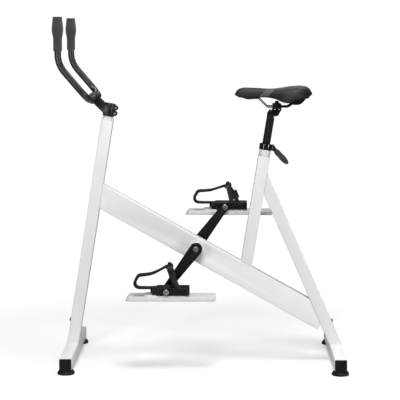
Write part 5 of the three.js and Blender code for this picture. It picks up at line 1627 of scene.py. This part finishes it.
@dataclass(frozen=True)
class SoftBox:
    """One soft light: where it hangs, what it points at, its width and height, and its watts."""

    name: str
    spot: tuple[float, float, float]
    aim: tuple[float, float, float]
    size: tuple[float, float]
    power: float

    def hang(self) -> None:
        """Hangs the light in the scene."""
        light = bpy.data.lights.new(self.name, "AREA")
        light.shape = "RECTANGLE"
        light.size, light.size_y = self.size
        light.energy = self.power
        holder = bpy.data.objects.new(self.name, light)
        holder.location = self.spot
        toward = Vector(self.aim) - Vector(self.spot)
        holder.rotation_euler = toward.to_track_quat("-Z", "Y").to_euler()
        bpy.context.scene.collection.objects.link(holder)


@dataclass
class Studio:
    """The pale floor, the soft lights and the camera.

    The floor, the backdrop and the room look white to the camera, but they light the bike dimly, so that
    its dark parts stay dark and the soft boxes shape its tubes.
    """

    eye: tuple[float, float, float] = (0.06917, -4.733, 1.1215)
    pitch: float = 6.81
    yaw: float = 0.95
    lens: float = 124.38
    sensor: float = 36.0
    reach: float = 200.0
    floor_size: float = 40.0
    backdrop_distance: float = 6.0
    backdrop_size: tuple[float, float] = (4.4, 2.2)
    backdrop_glow: float = 1.0
    near_glow: float = 0.2
    far_glow: float = 1.0
    glow_reach: tuple[float, float] = (0.8, 1.5)
    seen_paint: float = 0.95
    lit_paint: float = 0.45
    far_paint: float = 0.04
    sheet_light: float = 0.07
    sheet_roughness: float = 0.3
    sheet_shine: float = 0.3
    room_light: float = 0.08
    boxes: tuple[SoftBox, ...] = (
        SoftBox("overhead_box", (0.0, -0.3, 4.6), (0.0, 0.0, 0.0), (2.0, 2.0), 110.0),
        SoftBox("front_box", (-0.4, -6.5, 5.0), (0.0, 0.0, 0.3), (2.4, 2.4), 305.0),
        SoftBox("back_box", (0.6, 3.6, 3.2), (0.0, 0.0, 0.6), (2.4, 1.4), 20.0),
        SoftBox("high_box", (2.6, 0.0, 3.6), (0.0, 0.0, 0.9), (1.1, 1.1), 26.0),
        SoftBox("left_strip", (-1.7, -2.3, 0.9), (0.1, 0.0, 0.7), (0.2, 1.7), 20.0),
        SoftBox("right_strip", (2.5, -1.9, 0.9), (0.1, 0.0, 0.7), (0.2, 1.7), 30.0),
    )

    def build(self) -> None:
        """Sets up the floor, backdrop, lights, sky and camera."""
        half, far = self.floor_size / 2, self.backdrop_distance
        side, tall = self.backdrop_size[0] / 2, self.backdrop_size[1]
        floor = ((-half, -half, 0), (half, -half, 0), (half, half, 0), (-half, half, 0))
        backdrop = ((-side, far, 0), (side, far, 0), (side, far, tall), (-side, far, tall))
        self.sheet("studio_floor", floor, self.near_glow, self.far_glow)
        self.sheet("studio_backdrop", backdrop, self.backdrop_glow, self.backdrop_glow)
        self.sky()
        for box in self.boxes:
            box.hang()
        self.camera()
        bpy.context.scene.view_settings.view_transform = "Standard"

    def sheet(
        self, name: str, corners: Sequence[tuple[float, float, float]], near: float, far: float
    ) -> None:
        """Hangs or lays one pale sheet of the studio.

        Args:
            name: the sheet's name.
            corners: its four corners.
            near: how much light of its own it shows round the bike.
            far: how much it shows away from the bike.
        """
        mesh = bpy.data.meshes.new(name)
        mesh.from_pydata(corners, [], [(0, 1, 2, 3)])
        shader = Shader(name)
        x, y, _ = shader.place()
        away = ((x * x + y * y) ** 0.5).step(*self.glow_reach)
        seen = shader.node("ShaderNodeLightPath", {}, {}, "Is Camera Ray")
        paint = shader.mix(seen, grey(self.lit_paint), grey(self.seen_paint))
        shader.feed("Base Color", shader.mix(away, paint, grey(self.far_paint)))
        shader.feed("Roughness", self.sheet_roughness)
        shader.feed("Specular IOR Level", self.sheet_shine)
        glow = shader.mix(away, grey(near), grey(far))
        shader.feed("Emission Color", shader.mix(seen, grey(self.sheet_light), glow))
        shader.feed("Emission Strength", 1.0)
        mesh.materials.append(shader.material)
        sheet = bpy.data.objects.new(name, mesh)
        bpy.context.scene.collection.objects.link(sheet)

    def sky(self) -> None:
        """Surrounds the set with white that is seen at full strength and lights the bike dimly."""
        world = bpy.data.worlds.new("studio_room")
        bpy.context.scene.world = world
        world.use_nodes = True
        nodes, links = world.node_tree.nodes, world.node_tree.links
        seen, lit = nodes["Background"], nodes.new("ShaderNodeBackground")
        for background, strength in ((seen, 1.0), (lit, self.room_light)):
            background.inputs["Color"].default_value = (*grey(1.0), 1.0)
            background.inputs["Strength"].default_value = strength
        blend = nodes.new("ShaderNodeMixShader")
        links.new(nodes.new("ShaderNodeLightPath").outputs["Is Camera Ray"], blend.inputs[0])
        links.new(lit.outputs[0], blend.inputs[1])
        links.new(seen.outputs[0], blend.inputs[2])
        links.new(blend.outputs[0], nodes["World Output"].inputs["Surface"])

    def camera(self) -> None:
        """Stands the camera where the photograph was taken from."""
        data = bpy.data.cameras.new("studio_camera")
        data.lens = self.lens
        data.sensor_width = self.sensor
        data.clip_end = self.reach
        camera = bpy.data.objects.new("studio_camera", data)
        camera.location = self.eye
        camera.rotation_euler = (math.radians(90.0 - self.pitch), 0.0, math.radians(self.yaw))
        bpy.context.scene.collection.objects.link(camera)
        bpy.context.scene.camera = camera


def main() -> None:
    """Builds every sub-assembly in order."""
    logging.basicConfig(level=logging.INFO, format="%(message)s")
    Studio().build()
    Framework().build()
    Cockpit().build()
    SeatPost().build()
    Saddle().build()
    Drive().build()
    Pedal(Side.LEFT, crown=0.083, buckle_share=0.78, buckle_setback=0.0).build()
    Pedal(Side.RIGHT, crown=0.0695, strap_bow=0.005, clip_lift=(0.004, -0.007)).build()


if __name__ == "__main__":
    main()
